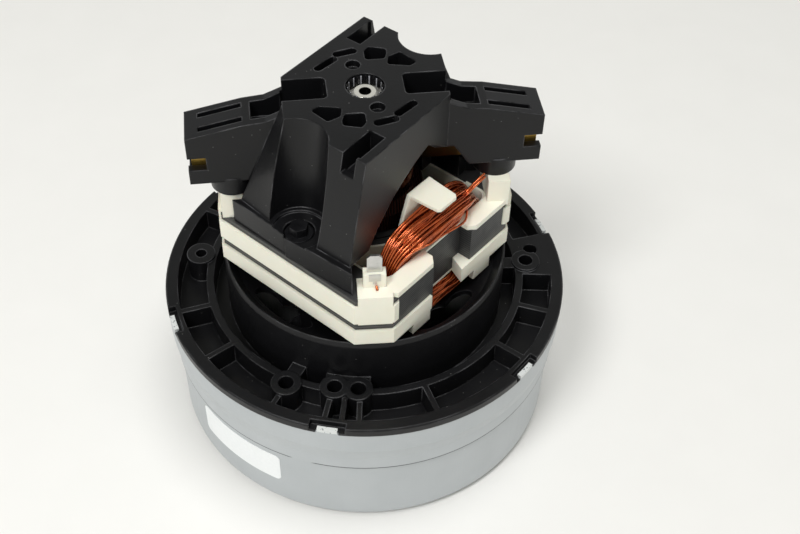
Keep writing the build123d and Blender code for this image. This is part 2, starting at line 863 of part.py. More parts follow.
# Upper insulator: skirts, corner blocks, posts for arms and terminals, coil tabs
def upper_insulator():
    top = stack_bottom + stack_height
    outline = chamfered_square(steel_half_width + insulator_wall,
                               steel_half_length + insulator_wall, insulator_corner)
    reach = insulator_corner + 1
    skirt = upright(outline, skirt_bottom, skirt_top) & block(
        -skirt_end, skirt_end, -reach, reach, skirt_bottom, skirt_top)
    corner = Rot(0, 0, 45) * block(arm_post_inner, reach, -corner_block_half_width,
                                   corner_block_half_width, corner_block_bottom,
                                   top + corner_block_rise)
    bridge = Rot(0, 0, 45) * block(arm_post_inner, reach, -corner_block_half_width - 2.0,
                                   corner_block_half_width + 2.0, skirt_bottom, skirt_top)
    blocks = upright(outline, corner_block_bottom, top + corner_block_rise) & together(
        round_about(4, corner) + round_about(4, bridge))
    plate = upright([(top_plate_inner, top_plate_start),
                     (top_plate_outer - top_plate_cut, top_plate_start),
                     (top_plate_outer, top_plate_start + top_plate_cut),
                     (top_plate_outer, top_plate_end),
                     (top_plate_inner, top_plate_end + 4.0)], top, top + corner_block_rise)
    plates = both_ends(plate) + both_ends(mirror(plate, Plane.XZ))
    neck = block(coil_wall_near, steel_half_width - recess_depth - 0.2, -pole_neck,
                 pole_neck, top, top + 1.0)
    wall = extrude(Plane(origin=(coil_wall_near, 0, 0), x_dir=(0, 1, 0), z_dir=(1, 0, 0))
                   * Polygon((-coil_wall_width / 2, top), (coil_wall_width / 2, top),
                             (coil_tab_width / 2, coil_tab_top),
                             (-coil_tab_width / 2, coil_tab_top), align=None),
                   amount=coil_wall_thickness, dir=(1, 0, 0))
    rim = coil_tab_far - coil_tab_cut
    half = coil_tab_end_width / 2
    tab = upright([(coil_wall_near, -coil_tab_width / 2), (rim, -half),
                   (coil_tab_far, coil_tab_cut - half), (coil_tab_far, half - coil_tab_cut),
                   (rim, half), (coil_wall_near, coil_tab_width / 2)],
                  coil_tab_top - coil_tab_thickness, coil_tab_top)
    liner_low = stack_bottom + stack_height / 2 + 0.5
    liner = field_opening(0.0, liner_low, top + 1.0)
    liner = liner - disc(stator_bore + pole_shoe, liner_low - 1, top + 2)
    liner = liner - block(-coil_wall_near, coil_wall_near, -reach, reach, top, top + 2)
    room = field_opening(slot_liner, liner_low - 1, top + 1.5)
    posts = together(both_ends(arm_post()) + both_ends(terminal_post()))
    round_steel = skirt + blocks - steel_block(stack_bottom, top)
    shape = round_steel + plates + (liner - room) + both_ends(neck + wall + tab)
    shape = shape + Rot(0, 0, 45) * posts
    return stack_frame(shape) - both_ends(brush_lead()) - field_terminals()


def arm_post():
    """The post under a brush arm, before the stack's turn."""
    top = stack_bottom + stack_height
    return block(arm_post_inner, arm_post_outer, -arm_post_half_width,
                 arm_post_half_width, top, arm_bottom - arm_boss_drop)


def terminal_post():
    top = stack_bottom + stack_height
    return block(-terminal_post_width / 2, terminal_post_width / 2,
                 -terminal_post_centre - terminal_post_thickness / 2,
                 -terminal_post_centre + terminal_post_thickness / 2,
                 top, top + terminal_post_rise + 0.5)


# Field terminals: push-on blades standing in the posts at front and back
def terminal_blade():
    seat = stack_bottom + stack_height + terminal_post_rise + 0.5
    blade = block(-terminal_width / 2, terminal_width / 2,
                  -terminal_post_centre - terminal_thickness / 2,
                  -terminal_post_centre + terminal_thickness / 2,
                  seat - terminal_seat, seat + terminal_rise)
    top_edges = blade.edges().filter_by(Axis.Y).sort_by(Axis.Z)[-2:]
    return chamfer(top_edges, 1.0)


def field_terminals():
    return Rot(0, 0, stack_turn) * together(both_ends(terminal_blade()))


# Leads: strips inside the posts, from the field to the brush boxes
def brush_lead():
    top = stack_bottom + stack_height
    return block(arm_boss_centre - 0.4, arm_boss_centre + 0.4, -brush_tag_width / 2,
                 brush_tag_width / 2, top + 2.0, brush_box_low())


def brush_leads():
    return together(both_ends(brush_lead()))


# Field coils: one unbroken wire wound round each pole neck, column by column
def turn_after(tangent, start, end):
    """Direction at the end of an arc that leaves start along tangent."""
    chord = (end - start).normalized()
    return chord * (2 * tangent.dot(chord)) - tangent


def biarc(start, tangent, end, leave):
    """Two arcs that meet smoothly between two points with given directions."""
    span = end - start
    across = tangent + leave
    flat = 2 * (1 - tangent.dot(leave))
    if flat < 1e-6:
        middle = (start + end) * 0.5
    else:
        slope = 2 * span.dot(across)
        reach = (math.sqrt(slope * slope + 4 * flat * span.dot(span)) - slope) / (2 * flat)
        middle = (start + tangent * reach + end - leave * reach) * 0.5
    first = Edge.make_tangent_arc(start, tangent, middle)
    second = Edge.make_tangent_arc(middle, turn_after(tangent, start, middle), end)
    return [first, second]


def coil_legs():
    """Slot legs in winding order: side, column and layer of each."""
    legs = []
    for layer in range(coil_layers):
        columns = list(range(coil_columns))
        if layer % 2:
            columns.reverse()
        for place, column in enumerate(columns):
            if layer == 0 or place > 0:
                legs.append((1, column, layer))
            if layer == coil_layers - 1 or place < coil_columns - 1:
                legs.append((-1, column, layer))
    return legs


def coil_edges():
    """The wire's centre line through all slot legs and end turns."""
    pitch = coil_wire + coil_gap
    corner = coil_inner + coil_wire / 2 - coil_bend
    top_run = coil_top - coil_wire / 2 - (coil_layers - 1) * pitch
    low_run = coil_bottom + coil_wire / 2 + (coil_layers - 1) * pitch
    up = Vector(0, 0, 1)
    edges = []
    places = []
    for side, column, layer in coil_legs():
        x = coil_near + coil_wire / 2 + column * pitch
        bend = coil_bend + layer * pitch
        places.append({
            "up": side > 0,
            "low": Vector(x, side * (corner + bend), low_run - layer * pitch + bend),
            "high": Vector(x, side * (corner + bend), top_run + layer * pitch - bend),
            "low_run": Vector(x, side * corner, low_run - layer * pitch),
            "top_run": Vector(x + coil_shift + column * coil_spread, side * corner,
                              top_run + layer * pitch),
        })
    for here, following in zip(places, places[1:] + [None]):
        lower, upper = here["low"], here["high"]
        edges.append(Edge.make_line(lower, upper) if here["up"]
                     else Edge.make_line(upper, lower))
        if following is None:
            break
        key, way = ("top_run", Vector(0, -1, 0)) if here["up"] else ("low_run", Vector(0, 1, 0))
        rise = up if here["up"] else up * -1
        leave = here["high"] if here["up"] else here["low"]
        arrive = following["high"] if here["up"] else following["low"]
        edges += bend_edges(leave, rise, here[key], way)
        if (here[key] - following[key]).dot(up) == 0 and here[key].X == following[key].X:
            edges.append(Edge.make_line(here[key], following[key]))
        else:
            edges += biarc(here[key], way, following[key], way)
        edges += bend_edges(following[key], way, arrive, rise * -1)
    return edges


def bend_edges(start, tangent, end, leave):
    """One quarter turn where the bend is flat, otherwise two arcs."""
    if abs(start.X - end.X) < 1e-6:
        return [Edge.make_tangent_arc(start, tangent, end)]
    return biarc(start, tangent, end, leave)


def least_gap(edges):
    """Smallest space between two turns, measured between points of the wire."""
    points = []
    travelled = 0.0
    for edge in edges:
        count = max(1, round(edge.length / coil_step))
        for i in range(count):
            place = edge.position_at(i / count)
            points.append((travelled + edge.length * i / count, place.X, place.Y, place.Z))
        travelled += edge.length
    least = math.inf
    for i, (along, x, y, z) in enumerate(points):
        for other, u, v, w in points[i + 1:]:
            if other - along > 4 * coil_wire:
                least = min(least, (x - u) ** 2 + (y - v) ** 2 + (z - w) ** 2)
    return math.sqrt(least) - coil_wire


def field_coil():
    """The wire in stretches, each swept on from the end face of the one before."""
    edges = coil_edges()
    print(f"field coil: least gap between turns {least_gap(edges):.2f} mm")
    start = Plane(origin=edges[0].position_at(0), z_dir=edges[0].tangent_at(0))
    section = start * RegularPolygon(coil_wire / 2, coil_sides)
    stretches = []
    for first in range(0, len(edges), coil_stretch):
        path = Wire(edges[first:first + coil_stretch])
        stretch = sweep(section, path=path)
        stretches.append(stretch)
        section = stretch.faces().sort_by_distance(path.position_at(1))[0]
    return stack_frame(stretches[0] + stretches[1:])


# Commutator bracket: platform, two legs, two feet and the brush arms
def bracket_platform():
    half = [(platform_half_width, platform_shoulder),
            (platform_half_width, -platform_half_length),
            (-platform_front_left, -platform_half_length),
            (-platform_skew_x, -platform_skew_y)]
    outline = half + [(-x, -y) for x, y in half]
    return upright(outline, wall_bottom, platform_top)


def bracket_leg():
    """One leg, its outer face leaning out towards the foot."""
    shelf = stack_bottom + stack_height + foot_height
    top = [(platform_half_width, -leg_inner),
           (platform_half_width, -platform_half_length),
           (-platform_front_left, -platform_half_length),
           (-platform_skew_x, -platform_skew_y), (-platform_skew_x, -leg_inner)]
    low = [(platform_half_width, -leg_inner), (platform_half_width, -leg_foot_length),
           (-leg_foot_corner, -leg_foot_length), (-leg_foot_left, -leg_foot_left_length),
           (-leg_foot_left, -leg_inner)]
    faces = [Pos(0, 0, height) * Polygon(*outline, align=None)
             for outline, height in ((low, shelf), (top, platform_top))]
    return loft(faces, ruled=True)


def bracket_foot():
    """The foot, set back a little on the arm's side of the screw."""
    low = stack_bottom + stack_height
    bevel = foot_end - foot_side
    outline = [(-foot_side, -foot_back), (-foot_side, bevel - foot_left_reach),
               (-foot_end, -foot_left_reach), (-foot_step, -foot_step_reach),
               (-foot_step, -foot_reach), (foot_end, -foot_right_reach),
               (foot_side, bevel - foot_right_reach), (foot_side, -foot_back)]
    return upright(outline, low, low + foot_height)


def side_window():
    """The arched opening between one leg and the arm beside it."""
    foot = (-window_foot, window_foot_height)
    peak = (window_peak, window_peak_height)
    arm = (window_arm, window_arm_height)
    low = stack_bottom + stack_height - 2
    arch = ThreePointArc(foot, (-window_bend, window_bend_height), peak)
    fall = Line(peak, arm)
    frame = Polyline(arm, (window_back, window_arm_height), (window_back, low),
                     (-window_foot, low), foot)
    flat = make_face(arch + fall + frame)
    plane = Plane(origin=(window_depth, 0, 0), x_dir=(0, 1, 0), z_dir=(1, 0, 0))
    return extrude(plane * flat, amount=2 * steel_half_width, dir=(1, 0, 0))


def brush_box_low():
    return brush_height - brush_tall / 2 - brush_running_gap - brush_box_wall


def bracket_arm():
    """One brush arm along X, in the motor's own frame, with the boss under it."""
    roof = platform_top - 3.2
    side = [(9.0, cavity_roof), (9.0, roof), (25.0, roof), (32.0, roof - 3.1),
            (arm_slot_start, roof - 3.9), (arm_length, arm_end_top), (arm_length, arm_bottom),
            (34.0, arm_bottom), (28.5, window_arm_height), (22.0, window_arm_height)]
    plane = Plane(origin=(0, arm_half_width, 0), x_dir=(1, 0, 0), z_dir=(0, -1, 0))
    arm = extrude(plane * Polygon(*side, align=None), amount=2 * arm_half_width,
                  dir=(0, -1, 0))
    boss = disc(arm_boss_radius, arm_bottom - arm_boss_drop, arm_bottom + 1,
                arm_boss_centre)
    return arm + boss


def arm_cuts():
    """The brush box's hole, the top openings and the end notches of one arm."""
    wide = brush_width / 2 + brush_running_gap + brush_box_wall + brush_box_fit
    tall = brush_tall / 2 + brush_running_gap + brush_box_wall + brush_box_fit
    box = block(0, arm_length + 1, -wide, wide, brush_height - tall, brush_height + tall)
    channel = block(channel_start, channel_end, -channel_left, channel_right,
                    channel_floor, platform_top + 1)
    channel = fillet(channel.edges().filter_by(Axis.Z).sort_by(Axis.X)[:2], 1.5)
    pocket = block(channel_end - 1, arm_pocket_end, -arm_pocket_half_width,
                   arm_pocket_half_width, arm_pocket_floor, platform_top + 1)
    slots = [block(arm_slot_start, arm_slot_end, side * arm_slot_offset - arm_slot_width / 2,
                   side * arm_slot_offset + arm_slot_width / 2,
                   arm_end_top - arm_slot_depth + 2.0, platform_top)
             for side in (-1, 1)]
    notch = [block(arm_length - end_notch_length, arm_length + 1,
                   min(side * (wide - 0.5), side * (arm_half_width + 1)),
                   max(side * (wide - 0.5), side * (arm_half_width + 1)),
                   brush_height - end_notch_height / 2, brush_height + end_notch_height / 2)
             for side in (-1, 1)]
    return together([box, channel, pocket, *slots, *notch])


def top_recesses():
    """Cored-out recesses in the platform, one half of the pattern, motor's frame."""
    low = platform_top - top_recess_depth
    high = platform_top + 1
    five = upright([(-18.1, -10.5), (-15.5, -8.7), (-8.3, -10.2), (-9.1, -14.3),
                    (-13.3, -16.5)], low, high)
    six = upright([(-7.9, -13.3), (-1.5, -13.3), (-1.6, -17.9), (-3.1, -20.3),
                   (-8.8, -18.7), (-8.9, -16.5)], low, high)
    hole = disc(2.45, platform_top - round_recess_depth, high, 2.7, -11.1)
    bar = Pos(4.6, -17.85, low) * (Rot(0, 0, 14) * extrude(
        SlotCenterToCenter(5.2, 3.1), amount=high - low))
    curve = Pos(11.3, -12.5, low) * (Rot(0, 0, 40) * extrude(
        SlotCenterToCenter(6.8, 2.8), amount=high - low))
    pocket = block(14.8, 20.5, -28.0, -16.0, low, high)
    mouth = block(14.8, 19.8, -31.0, -27.0, low + 1, high)
    five = fillet(five.edges().filter_by(Axis.Z), recess_round)
    six = fillet(six.edges().filter_by(Axis.Z), recess_round)
    return together([five, six, hole, bar, curve, field_frame(pocket + mouth)])


def commutator_bracket():
    low = stack_bottom + stack_height
    shelf = low + foot_height
    legs = both_ends(bracket_leg()) + both_ends(bracket_foot())
    body = bracket_platform() + legs - both_ends(side_window())
    under = block(-platform_half_width - 5, -window_depth, -window_back, 0, low - 1,
                  window_arm_height)
    body = body - both_ends(under)
    scallop = disc(screw_scallop, shelf, platform_top + 1, 0, -screw_offset)
    washer = disc(washer_pocket_radius, shelf - washer_pocket_depth, shelf + 1, 0,
                  -screw_offset)
    rim = disc(pocket_rim_radius, shelf - pocket_rim_depth, shelf + 1, 0, -screw_offset)
    hole = disc(screw_hole_radius, low - 1, shelf, 0, -screw_offset)
    body = body - both_ends(scallop + rim + washer + hole)
    body = field_frame(body) + both_ends(bracket_arm())
    seat_low = upper_bearing_seat - bearing_width
    body = body - disc(shaft_cavity_radius, low - 1, cavity_roof)
    body = body - disc(bearing_outer_radius, cavity_roof - 1,
                       upper_bearing_seat + wave_washer_gap)
    body = body - disc(shaft_window_radius, seat_low, platform_top + 1)
    return body - both_ends(arm_cuts()) - both_ends(top_recesses()) - both_ends(brush_lead())


# Long screws with washer heads
def bracket_screws():
    seat = stack_bottom + stack_height + foot_height - washer_pocket_depth
    shank = disc(screw_radius, stack_bottom - screw_bite, seat)
    washer = disc(screw_washer_radius, seat, seat + screw_washer_thickness)
    head = upright(corners(screw_hex_flats / 2, 6), seat + screw_washer_thickness,
                   seat + screw_washer_thickness + screw_head_height)
    screw = Pos(0, -screw_offset, 0) * (shank + washer + head)
    return field_frame(together(both_ends(screw)))


# Brush gear: brass box, carbon brush and its spring, one set in each arm
def brush_box(side):
    wide = brush_width / 2 + brush_running_gap
    tall = brush_tall / 2 + brush_running_gap
    wall = brush_box_wall
    outside = block(brush_box_start, brush_box_end, -wide - wall, wide + wall,
                    brush_height - tall - wall, brush_height + tall + wall)
    inside = block(brush_box_start - 1, brush_box_end - wall, -wide, wide,
                   brush_height - tall, brush_height + tall)
    return Rot(0, 0, side) * (outside - inside)


def brush(side):
    face = commutator_radius + brush_running_gap / 2
    end = face + brush_length
    body = block(commutator_radius - 1.0, end, -brush_width / 2, brush_width / 2,
                 brush_height - brush_tall / 2, brush_height + brush_tall / 2)
    return Rot(0, 0, side) * (body - disc(face, brush_height - 20, brush_height + 20))


def brush_spring(side):
    start = commutator_radius + brush_running_gap / 2 + brush_length
    end = brush_box_end - brush_box_wall
    place = Pos((start + end) / 2, 0, brush_height) * Rot(0, 90, 0)
    coil = Cylinder(spring_radius, end - start) - Cylinder(
        spring_radius - spring_wire, end - start + 1)
    return Rot(0, 0, side) * (place * coil)


save(lower_shell(), "lower_shell")
save(upper_shell(), "upper_shell")
save(blank_label(), "blank_label")
save(fan_end_bracket(), "fan_end_bracket")
save(interstage_plate(), "interstage_plate")
save(return_guide(), "return_guide")
save(fan(first_fan_plate, first_fan_rim, first_fan_eye), "first_stage_fan")
save(fan(second_fan_plate, second_fan_rim, second_fan_eye), "second_stage_fan")
save(fan_washers(), "fan_washers")
save(fan_spacer(), "fan_spacer")
save(bearing_spacer(), "bearing_spacer")
save(shaft_nut(), "shaft_nut")
save(shaft(), "shaft")
save(bearing_outer(lower_bearing_seat), "lower_bearing_outer_ring")
save(bearing_inner(lower_bearing_seat), "lower_bearing_inner_ring")
save(bearing_outer(upper_bearing_seat - bearing_width), "upper_bearing_outer_ring")
save(bearing_inner(upper_bearing_seat - bearing_width), "upper_bearing_inner_ring")
save(wave_washer(), "bearing_wave_washer")
save(bearing_retainer(), "bearing_retainer")
save(armature_core(), "armature_core")
save(armature_winding(), "armature_winding")
save(armature_insulators(), "armature_insulators")
save(commutator(), "commutator")
save(commutator_risers(), "commutator_risers")
save(commutator_hub(), "commutator_hub")
save(stator_laminations(), "stator_laminations")
save(lower_insulator(), "lower_insulator")
save(upper_insulator(), "upper_insulator")
save(field_terminals(), "field_terminals")
save(brush_leads(), "brush_leads")
coil = field_coil()
save(coil, "field_coil_front")
save(Rot(0, 0, 180) * coil, "field_coil_back")
save(commutator_bracket(), "commutator_bracket")
save(bracket_screws(), "bracket_screws")
for name, side in (("right", 0), ("left", 180)):
    save(brush_box(side), f"brush_box_{name}")
    save(brush(side), f"brush_{name}")
    save(brush_spring(side), f"brush_spring_{name}")
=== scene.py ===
import bpy
import math
import numpy as np
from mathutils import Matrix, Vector


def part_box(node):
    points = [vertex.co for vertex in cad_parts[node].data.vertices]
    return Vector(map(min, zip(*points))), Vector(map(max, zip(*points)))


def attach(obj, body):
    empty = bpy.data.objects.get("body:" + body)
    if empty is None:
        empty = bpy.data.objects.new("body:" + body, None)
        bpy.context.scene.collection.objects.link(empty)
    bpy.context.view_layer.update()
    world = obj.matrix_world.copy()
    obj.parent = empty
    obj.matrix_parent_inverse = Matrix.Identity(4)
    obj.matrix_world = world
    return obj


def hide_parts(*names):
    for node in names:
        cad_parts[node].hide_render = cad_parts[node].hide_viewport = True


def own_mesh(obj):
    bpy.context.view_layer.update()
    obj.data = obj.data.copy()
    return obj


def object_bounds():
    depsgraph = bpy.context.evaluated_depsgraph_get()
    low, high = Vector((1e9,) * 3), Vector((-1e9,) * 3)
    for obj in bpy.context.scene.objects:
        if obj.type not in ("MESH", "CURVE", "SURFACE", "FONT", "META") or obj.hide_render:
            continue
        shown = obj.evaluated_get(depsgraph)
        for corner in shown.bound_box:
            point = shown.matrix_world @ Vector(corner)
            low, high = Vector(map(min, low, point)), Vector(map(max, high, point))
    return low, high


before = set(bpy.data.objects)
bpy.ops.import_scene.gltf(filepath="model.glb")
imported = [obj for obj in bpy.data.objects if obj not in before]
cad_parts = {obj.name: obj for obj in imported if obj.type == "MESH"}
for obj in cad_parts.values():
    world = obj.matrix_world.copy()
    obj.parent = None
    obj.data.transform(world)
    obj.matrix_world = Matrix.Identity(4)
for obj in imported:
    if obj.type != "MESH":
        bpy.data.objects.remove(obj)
cad_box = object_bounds()
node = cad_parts

# Studio
# A pale paper sweep under the motor, in a room with bright walls and a dim ceiling. A soft
# key light high at the front left gives the copper its glints; one overhead lights the
# paper and the ivory tops. The camera looks down on the motor's front, as in the photo.
scene = bpy.context.scene
scene.view_settings.view_transform = "Standard"

camera = bpy.data.objects.new("camera", bpy.data.cameras.new("camera"))
scene.collection.objects.link(camera)
camera.data.sensor_width = 36.0
camera.data.lens = 53.03
camera.location = (-0.03308, -0.29440, 0.37044)
camera.rotation_euler = [math.radians(turn) for turn in (43.354, -1.1817, -7.6227)]
scene.camera = camera


def linear(code):
    """A colour given as sRGB hex, in the linear values that the shaders want."""
    shares = [int(code[i:i + 2], 16) / 255 for i in (1, 3, 5)]
    return [s / 12.92 if s <= 0.04045 else ((s + 0.055) / 1.055) ** 2.4
            for s in shares] + [1.0]


def add(tree, kind, settings=None, links=None):
    """One shader node with its settings and the sockets that feed it."""
    made = tree.nodes.new(kind)
    for key, value in (settings or {}).items():
        if isinstance(key, str) and hasattr(made, key):
            setattr(made, key, value)
        else:
            made.inputs[key].default_value = value
    for key, socket in (links or {}).items():
        tree.links.new(socket, made.inputs[key])
    return made


def new_finish(name):
    """A fresh material, its tree, its shader and the piece's own coordinates in metres."""
    material = bpy.data.materials.new(name)
    material.use_nodes = True
    tree = material.node_tree
    shader = tree.nodes["Principled BSDF"]
    place = add(tree, "ShaderNodeTexCoord").outputs["Object"]
    return material, tree, shader, place


# Matt white paper. Faint clouds of fibre, 25 mm across, keep it from being one flat tone.
# It lies a hair below the shell, so that the two faces don't share a plane.
paper_width = 6.0
paper_gap = 0.0002
paper, tree, shader, place = new_finish("floor_paper")
fibres = add(tree, "ShaderNodeTexNoise", {"Scale": 40.0, "Detail": 3.0}, {"Vector": place})
tone = add(tree, "ShaderNodeMix", {"data_type": "RGBA", 6: linear("#E9E8E5"),
                                   7: linear("#EDECE9")}, {0: fibres.outputs["Fac"]})
tree.links.new(tone.outputs[2], shader.inputs["Base Color"])
shader.inputs["Roughness"].default_value = 0.85
bpy.ops.mesh.primitive_plane_add(size=paper_width, location=(0, 0, cad_box[0].z - paper_gap))
floor = bpy.context.object
floor.name = "floor"
floor.data.materials.append(paper)

motor_middle = Vector((0, 0, 0.06))


def soft_light(name, spot, size, power):
    """A round soft box, size in metres and power in watts, turned to the motor's middle."""
    lamp = bpy.data.objects.new(name, bpy.data.lights.new(name, "AREA"))
    lamp.data.shape = "DISK"
    lamp.data.size = size
    lamp.data.energy = power
    lamp.location = spot
    to_motor = motor_middle - Vector(spot)
    lamp.rotation_euler = to_motor.to_track_quat("-Z", "Y").to_euler()
    scene.collection.objects.link(lamp)


soft_light("key_light", (-0.42, -0.50, 0.95), 0.36, 6.4)
soft_light("top_light", (0.15, -0.07, 1.22), 0.52, 4.9)

# The room: bright walls up to 17 degrees over the horizon, fading to a dimmer ceiling that
# starts at 49 degrees. Both heights are given as sines.
wall_top, ceiling_start = 0.30, 0.75
world = bpy.data.worlds.new("studio")
world.use_nodes = True
room = world.node_tree
outward = add(room, "ShaderNodeTexCoord").outputs["Generated"]
rise = add(room, "ShaderNodeSeparateXYZ", None, {0: outward})
ceiling = add(room, "ShaderNodeMapRange", {"From Min": wall_top, "From Max": ceiling_start},
              {0: rise.outputs["Z"]})
walls = add(room, "ShaderNodeMix", {"data_type": "RGBA", 6: linear("#FBFCFC"),
                                    7: linear("#9C9C94")}, {0: ceiling.outputs[0]})
room.links.new(walls.outputs[2], room.nodes["Background"].inputs["Color"])
room.nodes["Background"].inputs["Strength"].default_value = 0.84
scene.world = world

# Fan housing shells
# Two deep-drawn cups of zinc-coated sheet, pressed one into the other; the upper one's
# six tabs are folded over the bracket's flange. The coating is satin grey, with faint
# upright draw marks and small chips at the folds.
seam_height, seam_half = 0.03222, 0.00023
# Where the seam's painted shadow line is left off: angle and half-width in degrees.
shadow_gap_angle, shadow_gap_half = -114.2, 2.6
flange_top = 0.0527


def dress(names, material):
    """Gives CAD nodes their finish."""
    for name in names:
        node[name].data.materials.clear()
        node[name].data.materials.append(material)


# Draw marks stand 1.1 mm apart and run 40 mm up the wall; the clouds in the zinc measure
# 17 mm, and the few chips sit in 2.4 mm cells.
zinc, tree, shader, place = new_finish("drawn_zinc_sheet")
draw_marks = add(tree, "ShaderNodeMapping", {"Scale": (900.0, 900.0, 25.0)}, {"Vector": place})
marks = add(tree, "ShaderNodeTexNoise", {"Scale": 1.0, "Detail": 2.0},
            {"Vector": draw_marks.outputs[0]})
clouds = add(tree, "ShaderNodeTexNoise", {"Scale": 60.0, "Detail": 4.0}, {"Vector": place})
grey = add(tree, "ShaderNodeMix", {"data_type": "RGBA", 6: linear("#AAAFB1"),
                                   7: linear("#B9BDBF")}, {0: clouds.outputs["Fac"]})
specks = add(tree, "ShaderNodeTexVoronoi", {"Scale": 420.0}, {"Vector": place})
chip = add(tree, "ShaderNodeMath", {"operation": "LESS_THAN", 1: 0.06},
           {0: specks.outputs["Distance"]})
rare = add(tree, "ShaderNodeMath", {"operation": "GREATER_THAN", 1: 0.66},
           {0: clouds.outputs["Fac"]})
chips = add(tree, "ShaderNodeMath", {"operation": "MULTIPLY"},
            {0: chip.outputs[0], 1: rare.outputs[0]})
coat = add(tree, "ShaderNodeMix", {"data_type": "RGBA", 7: linear("#D6D9DA")},
           {0: chips.outputs[0], 6: grey.outputs[2]})
# A thin dark line of painted shadow marks the gap under the upper cup's cut edge; for a
# short way at the front left it is left off.
spot = add(tree, "ShaderNodeSeparateXYZ", None, {0: place})
off_seam = add(tree, "ShaderNodeMath", {"operation": "SUBTRACT", 1: seam_height},
               {0: spot.outputs["Z"]})
from_seam = add(tree, "ShaderNodeMath", {"operation": "ABSOLUTE"}, {0: off_seam.outputs[0]})
edge = add(tree, "ShaderNodeMath", {"operation": "LESS_THAN", 1: seam_half},
           {0: from_seam.outputs[0]})
angle = add(tree, "ShaderNodeMath", {"operation": "ARCTAN2"},
            {0: spot.outputs["Y"], 1: spot.outputs["X"]})
off_gap = add(tree, "ShaderNodeMath", {"operation": "SUBTRACT", 1: math.radians(shadow_gap_angle)},
          {0: angle.outputs[0]})
past_gap = add(tree, "ShaderNodeMath", {"operation": "ABSOLUTE"}, {0: off_gap.outputs[0]})
shadow_drawn = add(tree, "ShaderNodeMapRange",
               {"From Min": math.radians(shadow_gap_half), "From Max": math.radians(3.8),
                "To Min": 0.0, "To Max": 0.8}, {0: past_gap.outputs[0]})
seam_shadow_mask = add(tree, "ShaderNodeMath", {"operation": "MULTIPLY"},
           {0: edge.outputs[0], 1: shadow_drawn.outputs[0]})
# The seam's dark line is painted shadow, not a colour of the sheet.
shadowed_seam = add(tree, "ShaderNodeMix", {"data_type": "RGBA", 7: linear("#3C4042")},
            {0: seam_shadow_mask.outputs[0], 6: coat.outputs[2]})
# Over the flange the folded tabs are scraped to bright metal, with dark nicks of 0.8 mm.
folded = add(tree, "ShaderNodeMath", {"operation": "GREATER_THAN", 1: flange_top},
             {0: spot.outputs["Z"]})
scraped = add(tree, "ShaderNodeMix", {"data_type": "RGBA", 7: linear("#D5D8D7")},
              {0: folded.outputs[0], 6: shadowed_seam.outputs[2]})
scuffs = add(tree, "ShaderNodeTexNoise", {"Scale": 1300.0, "Detail": 3.0}, {"Vector": place})
deep = add(tree, "ShaderNodeMath", {"operation": "GREATER_THAN", 1: 0.62},
           {0: scuffs.outputs["Fac"]})
nicks = add(tree, "ShaderNodeMath", {"operation": "MULTIPLY"},
            {0: deep.outputs[0], 1: folded.outputs[0]})
nicked = add(tree, "ShaderNodeMix", {"data_type": "RGBA", 7: linear("#8B8F91")},
             {0: nicks.outputs[0], 6: scraped.outputs[2]})
tree.links.new(nicked.outputs[2], shader.inputs["Base Color"])
sheen = add(tree, "ShaderNodeMapRange", {"To Min": 0.34, "To Max": 0.46},
            {0: marks.outputs["Fac"]})
tree.links.new(sheen.outputs[0], shader.inputs["Roughness"])
shader.inputs["Metallic"].default_value = 0.15
ripple = add(tree, "ShaderNodeBump", {"Strength": 0.12, "Distance": 0.0002},
             {"Height": marks.outputs["Fac"]})
tree.links.new(ripple.outputs[0], shader.inputs["Normal"])
dress(["upper_shell", "lower_shell"], zinc)

# Label
# A strip of white vinyl stuck round the lower shell and left bare. It is matt, with a
# grain of about 1 mm that is only just seen.
vinyl, tree, shader, place = new_finish("white_vinyl")
grain = add(tree, "ShaderNodeTexNoise", {"Scale": 900.0, "Detail": 2.0}, {"Vector": place})
white = add(tree, "ShaderNodeMix", {"data_type": "RGBA", 6: linear("#E8EBEB"),
                                    7: linear("#F2F4F4")}, {0: grain.outputs["Fac"]})
tree.links.new(white.outputs[2], shader.inputs["Base Color"])
shader.inputs["Roughness"].default_value = 0.55
dress(["blank_label"], vinyl)
